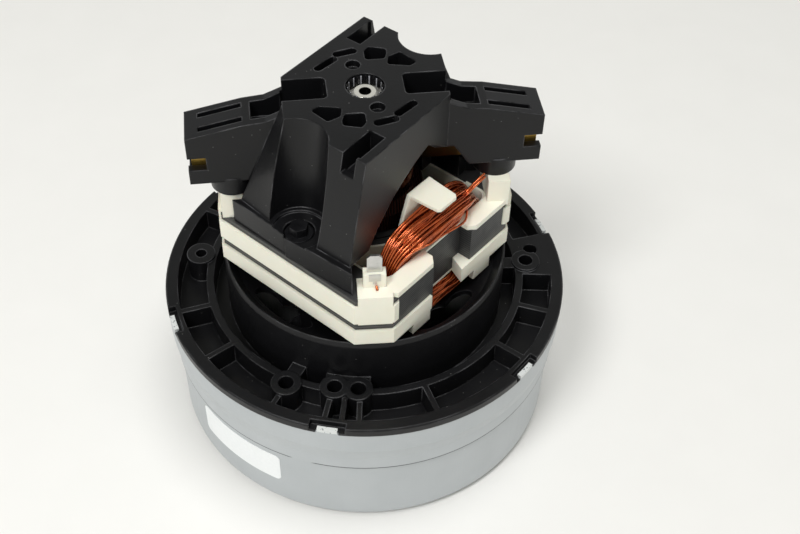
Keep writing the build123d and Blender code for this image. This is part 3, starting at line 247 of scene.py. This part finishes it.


# Black mouldings
# Fan end bracket and commutator bracket are compression-moulded from black phenolic. The
# surface is satin with a faint orange peel; along the arrises a grey highlight is painted
# in patches, and a little pale dust sits on the mouldings.
def black_moulding(name, sheen_low, sheen_high, gloss):
    """Black phenolic: flow marks 18 mm long, painted edge highlight in patches 8 mm across,
    lint in 3 mm cells and a peel of 0.7 mm. The roughness lies between the two sheens."""
    material, tree, shader, place = new_finish(name)
    shader.inputs["Specular IOR Level"].default_value = gloss
    flow = add(tree, "ShaderNodeTexNoise", {"Scale": 55.0, "Detail": 5.0, "Roughness": 0.6},
               {"Vector": place})
    black = add(tree, "ShaderNodeMix", {"data_type": "RGBA", 6: linear("#0B0B0C"),
                                        7: linear("#151517")}, {0: flow.outputs["Fac"]})
    rounded = add(tree, "ShaderNodeBevel", {"samples": 6, "Radius": 0.0007})
    flat = add(tree, "ShaderNodeNewGeometry")
    agree = add(tree, "ShaderNodeVectorMath", {"operation": "DOT_PRODUCT"},
                {0: rounded.outputs[0], 1: flat.outputs["Normal"]})
    # The grey on the arrises is a painted highlight where the rounded normal turns away.
    arris = add(tree, "ShaderNodeMapRange",
                {"From Min": 0.99, "From Max": 0.80, "To Min": 0.0, "To Max": 0.48},
                {0: agree.outputs["Value"]})
    patchy = add(tree, "ShaderNodeTexNoise", {"Scale": 130.0, "Detail": 4.0},
                 {"Vector": place})
    painted_glint = add(tree, "ShaderNodeMapRange", {"From Min": 0.44, "From Max": 0.64},
                 {0: patchy.outputs["Fac"]})
    edge_glint = add(tree, "ShaderNodeMath", {"operation": "MULTIPLY"},
                  {0: arris.outputs[0], 1: painted_glint.outputs[0]})
    edge_glinted = add(tree, "ShaderNodeMix", {"data_type": "RGBA", 7: linear("#808083")},
               {0: edge_glint.outputs[0], 6: black.outputs[2]})
    lint = add(tree, "ShaderNodeTexVoronoi", {"Scale": 300.0}, {"Vector": place})
    speck = add(tree, "ShaderNodeMath", {"operation": "LESS_THAN", 1: 0.045},
                {0: lint.outputs["Distance"]})
    dust = add(tree, "ShaderNodeMix", {"data_type": "RGBA", 7: linear("#6A6A68")},
               {0: speck.outputs[0], 6: edge_glinted.outputs[2]})
    tree.links.new(dust.outputs[2], shader.inputs["Base Color"])
    sheen = add(tree, "ShaderNodeMapRange", {"To Min": sheen_low, "To Max": sheen_high},
                {0: flow.outputs["Fac"]})
    tree.links.new(sheen.outputs[0], shader.inputs["Roughness"])
    peel = add(tree, "ShaderNodeTexNoise", {"Scale": 1400.0, "Detail": 2.0},
               {"Vector": place})
    skin = add(tree, "ShaderNodeBump", {"Strength": 0.10, "Distance": 0.0002},
               {"Height": peel.outputs["Fac"], "Normal": rounded.outputs[0]})
    tree.links.new(skin.outputs[0], shader.inputs["Normal"])
    return material


dress(["fan_end_bracket"], black_moulding("black_phenolic_fan_end", 0.26, 0.40, 0.26))
dress(["commutator_bracket"], black_moulding("black_phenolic_bracket", 0.24, 0.38, 0.26))
dress(["commutator_hub"], black_moulding("black_phenolic_hub", 0.40, 0.50, 0.30))

# Stator stack
# Punched sheets of electrical steel, half a millimetre each, riveted in a stack. The cut
# edges show as fine dark lines; a grey oxide stains them in patches of 4 to 5 mm. One
# line per sheet would be too fine to show, so there is one for every two.
drawn_pitch = 0.001
sheets, tree, shader, place = new_finish("stacked_electrical_steel")
height = add(tree, "ShaderNodeSeparateXYZ", None, {0: place})
edge = add(tree, "ShaderNodeMath", {"operation": "MULTIPLY", 1: 2 * math.pi / drawn_pitch},
           {0: height.outputs["Z"]})
line = add(tree, "ShaderNodeMath", {"operation": "SINE"}, {0: edge.outputs[0]})
stripes = add(tree, "ShaderNodeMapRange", {"From Min": -1.0}, {0: line.outputs[0]})
stain = add(tree, "ShaderNodeTexNoise", {"Scale": 220.0, "Detail": 5.0}, {"Vector": place})
oxide = add(tree, "ShaderNodeMix", {"data_type": "RGBA", 6: linear("#3E3F41"),
                                    7: linear("#6A6A69")}, {0: stain.outputs["Fac"]})
shade = add(tree, "ShaderNodeMix",
            {"data_type": "RGBA", "blend_type": "MULTIPLY", 0: 0.5},
            {6: oxide.outputs[2], 7: stripes.outputs[0]})
tree.links.new(shade.outputs[2], shader.inputs["Base Color"])
shader.inputs["Metallic"].default_value = 0.6
shader.inputs["Roughness"].default_value = 0.48
ridges = add(tree, "ShaderNodeBump", {"Strength": 0.35, "Distance": 0.0001},
             {"Height": stripes.outputs[0]})
tree.links.new(ridges.outputs[0], shader.inputs["Normal"])
dress(["stator_laminations", "armature_core"], sheets)

# Insulators
# Two injection-moulded frames of ivory nylon, pushed over the stack from above and below.
# They are matt, mottled over 11 mm, finely pored, and their arrises are softly rounded.
ivory, tree, shader, place = new_finish("ivory_nylon")
mottle = add(tree, "ShaderNodeTexNoise", {"Scale": 90.0, "Detail": 4.0}, {"Vector": place})
cream = add(tree, "ShaderNodeMix", {"data_type": "RGBA", 6: linear("#E6E3D0"),
                                    7: linear("#F1EEE0")}, {0: mottle.outputs["Fac"]})
tree.links.new(cream.outputs[2], shader.inputs["Base Color"])
shader.inputs["Roughness"].default_value = 0.45
shader.inputs["Subsurface Weight"].default_value = 0.08
shader.inputs["Subsurface Scale"].default_value = 0.002
soft = add(tree, "ShaderNodeBevel", {"samples": 4, "Radius": 0.0005})
pores = add(tree, "ShaderNodeTexNoise", {"Scale": 1100.0, "Detail": 2.0}, {"Vector": place})
skin = add(tree, "ShaderNodeBump", {"Strength": 0.08, "Distance": 0.0002},
           {"Height": pores.outputs["Fac"], "Normal": soft.outputs[0]})
tree.links.new(skin.outputs[0], shader.inputs["Normal"])
dress(["lower_insulator", "upper_insulator"], ivory)

# Field coils
# Each coil is one enamelled copper wire, laid round its pole neck turn on turn, loose
# and slightly crossed where it leaves the slots. The real wire is about 0.5 mm; it is
# drawn at 0.8 mm so that single turns show. The enamel's tone drifts over 4 mm.
enamel, tree, shader, place = new_finish("enamelled_copper")
tarnish = add(tree, "ShaderNodeTexNoise", {"Scale": 260.0, "Detail": 3.0}, {"Vector": place})
copper = add(tree, "ShaderNodeMix", {"data_type": "RGBA", 6: linear("#7A2207"),
                                     7: linear("#F27A32")}, {0: tarnish.outputs["Fac"]})
tree.links.new(copper.outputs[2], shader.inputs["Base Color"])
shader.inputs["Metallic"].default_value = 0.9
shader.inputs["Roughness"].default_value = 0.25
shader.inputs["Coat Weight"].default_value = 0.8
shader.inputs["Coat Roughness"].default_value = 0.20

coil_wire = 0.0008
coil_columns = 9
coil_layers = 12
turn_steps = 88
stack_turn = -2.6
# Slot legs: nearest and farthest column from the shaft, first and last layer.
leg_near, leg_far = 0.0260, 0.0318
leg_first, leg_last = 0.0149, 0.0235
# Crown over the pole neck: the first layer rests on the insulator and sinks a little into
# its saddle, the bundle leans out and flares away from the shaft.
crown_first, crown_last = 0.0960, 0.1053
crown_lean = 0.0034
crown_sink = 0.0002
crown_flare = 0.0036
inmost_flare, full_flare_layer = 0.65, 0.4
# Foot under the pole neck, flatter than the crown.
foot_first, foot_last = 0.0716, 0.0632
foot_lean = 0.0012
foot_flare = 0.0034
# Bends from leg to crown widen from layer to layer, and the flare comes in over a shoulder.
bend_first, bend_growth, bend_slack = 0.0034, 0.0105, 0.0004
shoulder = 0.0115
# Shares of a turn: where the wire starts to step over to its next seat, and for how long.
step_start, step_length = 0.68, 0.20
# How far a loose turn strays: sideways, upwards, and upwards from end to end.
stray_out, stray_up, sway_up = 0.00052, 0.00044, 0.0004


def tube(name, points, radius, sides, across):
    """A closed tube along points. No stretch of the run may point along across."""
    points = np.asarray(points)
    run = np.gradient(points, axis=0)
    run /= np.linalg.norm(run, axis=1)[:, None]
    first = np.cross(run, np.asarray(across, float))
    first /= np.linalg.norm(first, axis=1)[:, None]
    second = np.cross(run, first)
    rings = []
    for side in range(sides):
        turn = 2 * math.pi * side / sides
        rings.append(points + radius * (math.cos(turn) * first + math.sin(turn) * second))
    verts = np.stack(rings, axis=1).reshape(-1, 3)
    faces = []
    for ring in range(len(points) - 1):
        for side in range(sides):
            a = ring * sides + side
            b = ring * sides + (side + 1) % sides
            faces.append((a, b, b + sides, a + sides))
    faces.append(tuple(range(sides))[::-1])
    last = (len(points) - 1) * sides
    faces.append(tuple(range(last, last + sides)))
    mesh = bpy.data.meshes.new(name)
    mesh.from_pydata(verts.tolist(), [], faces)
    mesh.shade_smooth()
    piece = bpy.data.objects.new(name, mesh)
    scene.collection.objects.link(piece)
    return piece


def ease(share):
    """A share held between 0 and 1 that starts and ends gently."""
    share = min(1.0, max(0.0, share))
    return share * share * (3 - 2 * share)


def turn_point(share, half, top, low, bend):
    """Place on a turn with rounded bends, as distance across the neck and height. The
    share of the turn counts from the middle of one slot leg."""
    across, tall = half - bend, (top - low) / 2 - bend
    arc = bend * math.pi / 2
    reach = share * (4 * (across + tall) + 4 * arc)
    for quarter, (flat, ahead) in enumerate(((tall, across), (across, tall),
                                             (tall, across), (across, tall))):
        length = flat + arc + ahead
        if reach <= length or quarter == 3:
            break
        reach -= length
    if reach < flat:
        u, v = half if quarter % 2 == 0 else (top - low) / 2, reach
    elif reach < flat + arc:
        angle = (reach - flat) / bend
        out = (across if quarter % 2 == 0 else tall) + bend * math.cos(angle)
        u, v = out, flat + bend * math.sin(angle)
    else:
        out = across if quarter % 2 == 0 else tall
        u, v = out - (reach - flat - arc), flat + bend
    spots = ((u, v), (-v, u), (-u, -v), (v, -u))
    q, rise = spots[quarter]
    return q, (top + low) / 2 + rise


def wound_coil(name, turn_about, seed):
    """One unbroken wire, laid in the pole's frame and turned into place round the shaft:
    p runs outwards from the shaft, q across the pole neck and z up."""
    # Seats in the slot, column and layer as shares, wound forth and back.
    seats = []
    for layer in range(coil_layers):
        columns = range(coil_columns) if layer % 2 == 0 else range(coil_columns)[::-1]
        seats += [(column / (coil_columns - 1), layer / (coil_layers - 1))
                  for column in columns]
    seats = np.array(seats)
    stray = np.random.default_rng(seed).normal(0, 1, (len(seats) + 1, 5))
    points = []
    for turn in range(len(seats)):
        following = seats[min(turn + 1, len(seats) - 1)]
        for step in range(turn_steps):
            share = step / turn_steps
            move = ease((share - step_start) / step_length)
            column, layer = seats[turn] * (1 - move) + following * move
            out, twist, up, sway, slack = stray[turn] * (1 - move) + stray[turn + 1] * move
            half = leg_first + (leg_last - leg_first) * layer
            top = crown_first + (crown_last - crown_first - crown_lean * column) * layer
            low = foot_first - (foot_first - foot_last - foot_lean * column) * layer
            bend = bend_first + bend_growth * layer + bend_slack * abs(slack)
            q, z = turn_point(share, half, top, low, bend)
            # Only the crown and the foot flare and stray; the slot holds the legs.
            over = ease((half - abs(q)) / shoulder)
            swing = math.sin(math.pi * min(1.0, max(-1.0, q / half)))
            above = z > (top + low) / 2
            flare = foot_flare
            if above:
                grown = min(1.0, layer / full_flare_layer)
                flare = crown_flare * (inmost_flare + (1 - inmost_flare) * grown)
            p = leg_near + (leg_far - leg_near) * column
            p += over * (flare * column - crown_sink)
            p += over * (stray_out * out + stray_out * twist * swing)
            lift = over * layer * (stray_up * up + sway_up * sway * swing)
            z += lift if above else -lift
            points.append((p, q, z))
    points = np.array(points)
    turn = math.radians(turn_about + stack_turn)
    x = points[:, 0] * math.cos(turn) - points[:, 1] * math.sin(turn)
    y = points[:, 0] * math.sin(turn) + points[:, 1] * math.cos(turn)
    placed = np.stack([x, y, points[:, 2]], axis=1)
    away = (math.cos(turn), math.sin(turn), 0)
    piece = tube(name, placed, coil_wire / 2, 6, away)
    piece.data.materials.append(enamel)
    return piece


for name, turn_about, seed in (("field_coil_front", -45, 4), ("field_coil_back", 135, 9)):
    coil = wound_coil("wound_" + name, turn_about, seed)
    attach(coil, "motor")
    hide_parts(name)

# Terminals and leads
# Push-on blades stamped from tinned brass, standing in the ivory posts, and the tinned
# strips and wires that lead from the field up to the brush boxes. The tin is dull in
# patches of 2 mm.
tin, tree, shader, place = new_finish("tinned_brass")
dull = add(tree, "ShaderNodeTexNoise", {"Scale": 500.0, "Detail": 4.0}, {"Vector": place})
silver = add(tree, "ShaderNodeMix", {"data_type": "RGBA", 6: linear("#B9B9B7"),
                                     7: linear("#DAD9D6")}, {0: dull.outputs["Fac"]})
tree.links.new(silver.outputs[2], shader.inputs["Base Color"])
gloss = add(tree, "ShaderNodeMapRange", {"To Min": 0.22, "To Max": 0.42},
            {0: dull.outputs["Fac"]})
tree.links.new(gloss.outputs[0], shader.inputs["Roughness"])
shader.inputs["Metallic"].default_value = 1.0
dress(["field_terminals", "brush_leads"], tin)


def in_stack(points, side):
    """Places given in millimetres for the front of the motor, in metres, on either side."""
    turn = math.radians(stack_turn + side)
    return [(0.001 * (x * math.cos(turn) - y * math.sin(turn)),
             0.001 * (x * math.sin(turn) + y * math.cos(turn)), 0.001 * z)
            for x, y, z in points]


def blade_sheet(name, side, half_width, low, high):
    """A flat piece of the blade's foot, square in the stack's frame, in millimetres."""
    spots = [(x, y, z) for z in (low, high) for y in (blade_outer, blade_inner)
             for x in (-half_width, half_width)]
    mesh = bpy.data.meshes.new(name)
    mesh.from_pydata(in_stack(spots, side), [],
                     [(0, 2, 3, 1), (4, 5, 7, 6), (0, 1, 5, 4), (2, 6, 7, 3), (0, 4, 6, 2),
                      (1, 3, 7, 5)])
    piece = bpy.data.objects.new(name, mesh)
    scene.collection.objects.link(piece)
    mesh.materials.append(tin)
    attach(piece, "motor")


def strand(name, side, spots, radius):
    """A short run of magnet wire, bent smoothly through the given places."""
    spots = np.array(in_stack(spots, side))
    knots = np.linspace(0, 1, len(spots))
    fine = np.linspace(0, 1, 8 * len(spots))
    run = np.stack([np.interp(fine, knots, spots[:, axis]) for axis in range(3)], axis=1)
    for _ in range(6):
        run[1:-1] = (run[:-2] + run[1:-1] * 2 + run[2:]) / 4
    piece = tube(name, run, radius, 8, unlike_any_strand)
    piece.data.materials.append(enamel)
    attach(piece, "motor")


# The blade's foot is bent over the front of its post: a plate with a narrow tongue, and
# the end of the coil's wire is hooked in under it. The coil's other end climbs as a pair
# past the arm's boss to the brush box. Places in millimetres.
blade_outer, blade_inner = -45.45, -45.18
blade_half, blade_top, blade_low = 1.9, 100.9, 97.9
tongue_half, tongue_low = 0.6, 96.6
hooked_end = [(0.5, -44.9, 95.2), (0.55, -45.8, 95.8), (0.6, -46.3, 95.5),
              (0.75, -46.9, 95.3)]
climbing_wire = [(31.9, -13.2, 100.6), (33.4, -12.2, 102.6), (35.6, -10.6, 103.9),
                 (37.6, -9.0, 104.7), (39.8, -6.9, 105.1)]
climbing_twin = [(31.5, -12.1, 101.4), (33.2, -11.4, 103.1), (35.4, -9.8, 104.5),
                 (37.5, -8.2, 105.4), (39.6, -6.2, 105.9)]
end_radius, climb_radius = 0.00042, 0.00045
unlike_any_strand = (0.31, 0.22, 0.93)
for end, side in (("front", 0), ("back", 180)):
    blade_sheet("blade_foot_" + end, side, blade_half, blade_low, blade_top)
    blade_sheet("blade_tongue_" + end, side, tongue_half, tongue_low, blade_low)
    strand("wire_end_" + end, side, hooked_end, end_radius)
    strand("brush_wire_" + end, side, climbing_wire, climb_radius)
    strand("brush_wire_twin_" + end, side, climbing_twin, climb_radius)

# Long screws
# Two hex washer-head screws that clamp bracket and stack to the fan end. Black oxide on
# steel, a little oily in patches of 2.5 mm, so they stay dark with a soft gleam.
oxide_black, tree, shader, place = new_finish("black_oxide_steel")
oil = add(tree, "ShaderNodeTexNoise", {"Scale": 400.0, "Detail": 4.0}, {"Vector": place})
dark = add(tree, "ShaderNodeMix", {"data_type": "RGBA", 6: linear("#1A1A1C"),
                                   7: linear("#333336")}, {0: oil.outputs["Fac"]})
tree.links.new(dark.outputs[2], shader.inputs["Base Color"])
shader.inputs["Metallic"].default_value = 0.8
oily = add(tree, "ShaderNodeMapRange", {"To Min": 0.25, "To Max": 0.45},
           {0: oil.outputs["Fac"]})
tree.links.new(oily.outputs[0], shader.inputs["Roughness"])
soft = add(tree, "ShaderNodeBevel", {"samples": 4, "Radius": 0.0003})
tree.links.new(soft.outputs[0], shader.inputs["Normal"])
dress(["bracket_screws"], oxide_black)

# Shaft and bearings
# The shaft runs in two ball bearings pressed on it. Shaft and rings are ground bearing
# steel, bright, with turning marks 0.3 mm apart round the shaft.
hole_shade_radius, steel_radius = 0.0019, 0.0021
ground, tree, shader, place = new_finish("ground_bearing_steel")
rings = add(tree, "ShaderNodeMapping", {"Scale": (40.0, 40.0, 3000.0)}, {"Vector": place})
turning = add(tree, "ShaderNodeTexNoise", {"Scale": 1.0, "Detail": 3.0},
              {"Vector": rings.outputs[0]})
bright = add(tree, "ShaderNodeMix", {"data_type": "RGBA", 6: linear("#D2D0C8"),
                                     7: linear("#ECEAE2")}, {0: turning.outputs["Fac"]})
# The centre hole in the shaft's top end, 2 mm deep, is painted black as shade.
spot = add(tree, "ShaderNodeSeparateXYZ", None, {0: place})
flat = add(tree, "ShaderNodeCombineXYZ", None,
           {0: spot.outputs["X"], 1: spot.outputs["Y"]})
reach = add(tree, "ShaderNodeVectorMath", {"operation": "LENGTH"}, {0: flat.outputs[0]})
within = add(tree, "ShaderNodeMapRange",
             {"From Min": hole_shade_radius, "From Max": steel_radius, "To Min": 1.0,
              "To Max": 0.0}, {0: reach.outputs["Value"]})
shaded = add(tree, "ShaderNodeMix", {"data_type": "RGBA", 7: linear("#0B0A09")},
             {0: within.outputs[0], 6: bright.outputs[2]})
tree.links.new(shaded.outputs[2], shader.inputs["Base Color"])
polish = add(tree, "ShaderNodeMapRange", {"To Min": 0.16, "To Max": 0.3},
             {0: turning.outputs["Fac"]})
tree.links.new(polish.outputs[0], shader.inputs["Roughness"])
shader.inputs["Metallic"].default_value = 0.6
dress(["shaft", "upper_bearing_inner_ring", "lower_bearing_inner_ring",
       "upper_bearing_outer_ring", "lower_bearing_outer_ring"], ground)

# Tolerance ring
# A corrugated ring of blued spring steel, wedged in the bracket's round window over the
# bearing. It is black in the hollows; its crests carry a painted highlight, so the eye sees
# short upright glints.
ring_waves = 13
points_a_wave = 12
ring_middle, ring_wave, ring_sheet = 0.00578, 0.00030, 0.00018
ring_low, ring_high = 0.1362, 0.1394
blued, tree, shader, place = new_finish("blued_spring_steel")
temper = add(tree, "ShaderNodeTexNoise", {"Scale": 500.0, "Detail": 3.0}, {"Vector": place})
blue = add(tree, "ShaderNodeMix", {"data_type": "RGBA", 6: linear("#08080B"),
                                   7: linear("#15151B")}, {0: temper.outputs["Fac"]})
spot = add(tree, "ShaderNodeSeparateXYZ", None, {0: place})
angle = add(tree, "ShaderNodeMath", {"operation": "ARCTAN2"},
            {0: spot.outputs["Y"], 1: spot.outputs["X"]})
phase = add(tree, "ShaderNodeMath", {"operation": "MULTIPLY", 1: float(ring_waves)},
            {0: angle.outputs[0]})
swell = add(tree, "ShaderNodeMath", {"operation": "COSINE"}, {0: phase.outputs[0]})
# Painted highlight on the crests that face the shaft.
crest_highlight = add(tree, "ShaderNodeMapRange", {"From Min": -0.80, "From Max": -0.97},
            {0: swell.outputs[0]})
painted_glint = add(tree, "ShaderNodeMix", {"data_type": "RGBA", 7: linear("#B9BAC2")},
             {0: crest_highlight.outputs[0], 6: blue.outputs[2]})
tree.links.new(painted_glint.outputs[2], shader.inputs["Base Color"])
shader.inputs["Metallic"].default_value = 0.5
shader.inputs["Roughness"].default_value = 0.30
around = np.linspace(0, 2 * math.pi, ring_waves * points_a_wave, endpoint=False)
wavy = ring_middle + ring_wave * np.cos(ring_waves * around)
rings = [np.stack([(wavy + out) * np.cos(around), (wavy + out) * np.sin(around),
                   np.full(len(around), height)], axis=1)
         for out, height in ((ring_sheet / 2, ring_low), (ring_sheet / 2, ring_high),
                             (-ring_sheet / 2, ring_high), (-ring_sheet / 2, ring_low))]
count = len(around)
faces = [(ring * count + i, ring * count + (i + 1) % count,
          (ring + 1) % 4 * count + (i + 1) % count, (ring + 1) % 4 * count + i)
         for ring in range(4) for i in range(count)]
mesh = bpy.data.meshes.new("tolerance_ring")
mesh.from_pydata(np.concatenate(rings).tolist(), [], faces)
mesh.materials.append(blued)
tolerance_ring = bpy.data.objects.new("tolerance_ring", mesh)
scene.collection.objects.link(tolerance_ring)
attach(tolerance_ring, "motor")

# Zinc-plated small parts
# Nut, washers, spacers, retainer, wave washer and the plate between the fans: pressed or
# turned steel with clear zinc, bluish, with clouds of 3 mm.
plated, tree, shader, place = new_finish("clear_zinc_plated_steel")
cloud = add(tree, "ShaderNodeTexNoise", {"Scale": 300.0, "Detail": 4.0}, {"Vector": place})
blue = add(tree, "ShaderNodeMix", {"data_type": "RGBA", 6: linear("#A9AEB3"),
                                   7: linear("#C6CACD")}, {0: cloud.outputs["Fac"]})
tree.links.new(blue.outputs[2], shader.inputs["Base Color"])
cloudy = add(tree, "ShaderNodeMapRange", {"To Min": 0.28, "To Max": 0.45},
             {0: cloud.outputs["Fac"]})
tree.links.new(cloudy.outputs[0], shader.inputs["Roughness"])
shader.inputs["Metallic"].default_value = 1.0
dress(["shaft_nut", "fan_washers", "fan_spacer", "bearing_spacer", "bearing_retainer",
       "bearing_wave_washer", "interstage_plate"], plated)

# Fans and return guide
# Two bladed fans clamped on the shaft, and the fixed guide that leads the air from one to
# the next. Rolled aluminium sheet, vanes staked through the plates; the rolling lines run
# one way, 0.5 mm apart and 17 mm long.
rolled, tree, shader, place = new_finish("rolled_aluminium")
grainway = add(tree, "ShaderNodeMapping", {"Scale": (2200.0, 60.0, 60.0)},
               {"Vector": place})
rolling = add(tree, "ShaderNodeTexNoise", {"Scale": 1.0, "Detail": 3.0},
              {"Vector": grainway.outputs[0]})
pale = add(tree, "ShaderNodeMix", {"data_type": "RGBA", 6: linear("#C2C4C6"),
                                   7: linear("#DCDDDE")}, {0: rolling.outputs["Fac"]})
tree.links.new(pale.outputs[2], shader.inputs["Base Color"])
satin = add(tree, "ShaderNodeMapRange", {"To Min": 0.28, "To Max": 0.42},
            {0: rolling.outputs["Fac"]})
tree.links.new(satin.outputs[0], shader.inputs["Roughness"])
shader.inputs["Metallic"].default_value = 1.0
dress(["first_stage_fan", "second_stage_fan", "return_guide"], rolled)

# Armature
# Slotted core pressed on the shaft, with its winding, fibre end discs and commutator. The
# winding is varnished copper, dark brown, its wires about 1 mm apart.
varnished, tree, shader, place = new_finish("varnished_winding")
strands = add(tree, "ShaderNodeTexWave", {"Scale": 320.0, "Distortion": 4.0, "Detail": 2.0},
              {"Vector": place})
wound = add(tree, "ShaderNodeMix", {"data_type": "RGBA", 6: linear("#1A0E0A"),
                                    7: linear("#4A2012")}, {0: strands.outputs["Fac"]})
tree.links.new(wound.outputs[2], shader.inputs["Base Color"])
shader.inputs["Metallic"].default_value = 0.7
shader.inputs["Roughness"].default_value = 0.32
lay = add(tree, "ShaderNodeBump", {"Strength": 0.7, "Distance": 0.0004},
          {"Height": strands.outputs["Fac"]})
tree.links.new(lay.outputs[0], shader.inputs["Normal"])
dress(["armature_winding"], varnished)

# Vulcanised fibre discs between core and winding: straw-coloured, dull, with a fine felt.
fibre, tree, shader, place = new_finish("vulcanised_fibre")
felt = add(tree, "ShaderNodeTexNoise", {"Scale": 700.0, "Detail": 4.0}, {"Vector": place})
straw = add(tree, "ShaderNodeMix", {"data_type": "RGBA", 6: linear("#A98F58"),
                                    7: linear("#C9B27A")}, {0: felt.outputs["Fac"]})
tree.links.new(straw.outputs[2], shader.inputs["Base Color"])
shader.inputs["Roughness"].default_value = 0.8
dress(["armature_insulators"], fibre)

# Bare hard-drawn copper bars, browned by the brushes and scored round every 0.4 mm.
bars, tree, shader, place = new_finish("browned_commutator_copper")
track = add(tree, "ShaderNodeMapping", {"Scale": (30.0, 30.0, 2500.0)}, {"Vector": place})
wear = add(tree, "ShaderNodeTexNoise", {"Scale": 1.0, "Detail": 3.0},
           {"Vector": track.outputs[0]})
brown = add(tree, "ShaderNodeMix", {"data_type": "RGBA", 6: linear("#8C4A2A"),
                                    7: linear("#C9794A")}, {0: wear.outputs["Fac"]})
tree.links.new(brown.outputs[2], shader.inputs["Base Color"])
shader.inputs["Metallic"].default_value = 1.0
shader.inputs["Roughness"].default_value = 0.3
dress(["commutator", "commutator_risers"], bars)

# Brush gear
# Folded brass boxes press-fitted in the arms, a carbon brush sliding in each, and a
# spring of stainless wire behind it. The brass is tarnished in patches of 3 mm.
soot_from, soot_to = 0.030, 0.044
brass, tree, shader, place = new_finish("rolled_brass")
tarnish = add(tree, "ShaderNodeTexNoise", {"Scale": 300.0, "Detail": 4.0}, {"Vector": place})
gold = add(tree, "ShaderNodeMix", {"data_type": "RGBA", 6: linear("#B08A3C"),
                                   7: linear("#D9B860")}, {0: tarnish.outputs["Fac"]})
# Carbon dust from the brushes blackens the box towards the commutator; only its mouth at
# the arm's end stays bright.
along = add(tree, "ShaderNodeSeparateXYZ", None, {0: place})
out = add(tree, "ShaderNodeMath", {"operation": "ABSOLUTE"}, {0: along.outputs["X"]})
dusty = add(tree, "ShaderNodeMapRange",
            {"From Min": soot_from, "From Max": soot_to, "To Min": 0.97, "To Max": 0.0},
            {0: out.outputs[0]})
sooted = add(tree, "ShaderNodeMix", {"data_type": "RGBA", 7: linear("#15110C")},
             {0: dusty.outputs[0], 6: gold.outputs[2]})
tree.links.new(sooted.outputs[2], shader.inputs["Base Color"])
shader.inputs["Metallic"].default_value = 1.0
shader.inputs["Roughness"].default_value = 0.3
dress(["brush_box_right", "brush_box_left"], brass)

# Pressed carbon: matt and nearly black, with a grit of 0.7 mm.
carbon, tree, shader, place = new_finish("pressed_carbon")
grit = add(tree, "ShaderNodeTexNoise", {"Scale": 1500.0, "Detail": 3.0}, {"Vector": place})
soot = add(tree, "ShaderNodeMix", {"data_type": "RGBA", 6: linear("#1D1D1E"),
                                   7: linear("#343436")}, {0: grit.outputs["Fac"]})
tree.links.new(soot.outputs[2], shader.inputs["Base Color"])
shader.inputs["Roughness"].default_value = 0.6
dress(["brush_right", "brush_left"], carbon)

# Drawn stainless wire, wound open.
stainless, tree, shader, place = new_finish("stainless_spring_wire")
drawn = add(tree, "ShaderNodeTexNoise", {"Scale": 800.0, "Detail": 2.0}, {"Vector": place})
steel = add(tree, "ShaderNodeMix", {"data_type": "RGBA", 6: linear("#A5A5A3"),
                                    7: linear("#C6C6C4")}, {0: drawn.outputs["Fac"]})
tree.links.new(steel.outputs[2], shader.inputs["Base Color"])
shader.inputs["Metallic"].default_value = 1.0
shader.inputs["Roughness"].default_value = 0.28
spring_turns = 9
points_a_turn = 20
spring_wire = 0.0006
spring_height = 0.118
for name, way in (("right", 1), ("left", -1)):
    low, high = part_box("brush_spring_" + name)
    near = low.x if way > 0 else high.x
    far = high.x if way > 0 else low.x
    radius = (high.z - low.z) / 2 - spring_wire / 2
    turns = np.linspace(0, spring_turns * 2 * math.pi, spring_turns * points_a_turn + 1)
    inset = spring_wire / 2 * way
    along = np.linspace(near + inset, far - inset, len(turns))
    points = np.stack([along, radius * np.cos(turns), spring_height + radius * np.sin(turns)],
                      axis=1)
    spring = tube("coiled_spring_" + name, points, spring_wire / 2, 8, (1, 0, 0))
    spring.data.materials.append(stainless)
    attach(spring, "motor")
    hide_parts("brush_spring_" + name)
    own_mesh(spring)
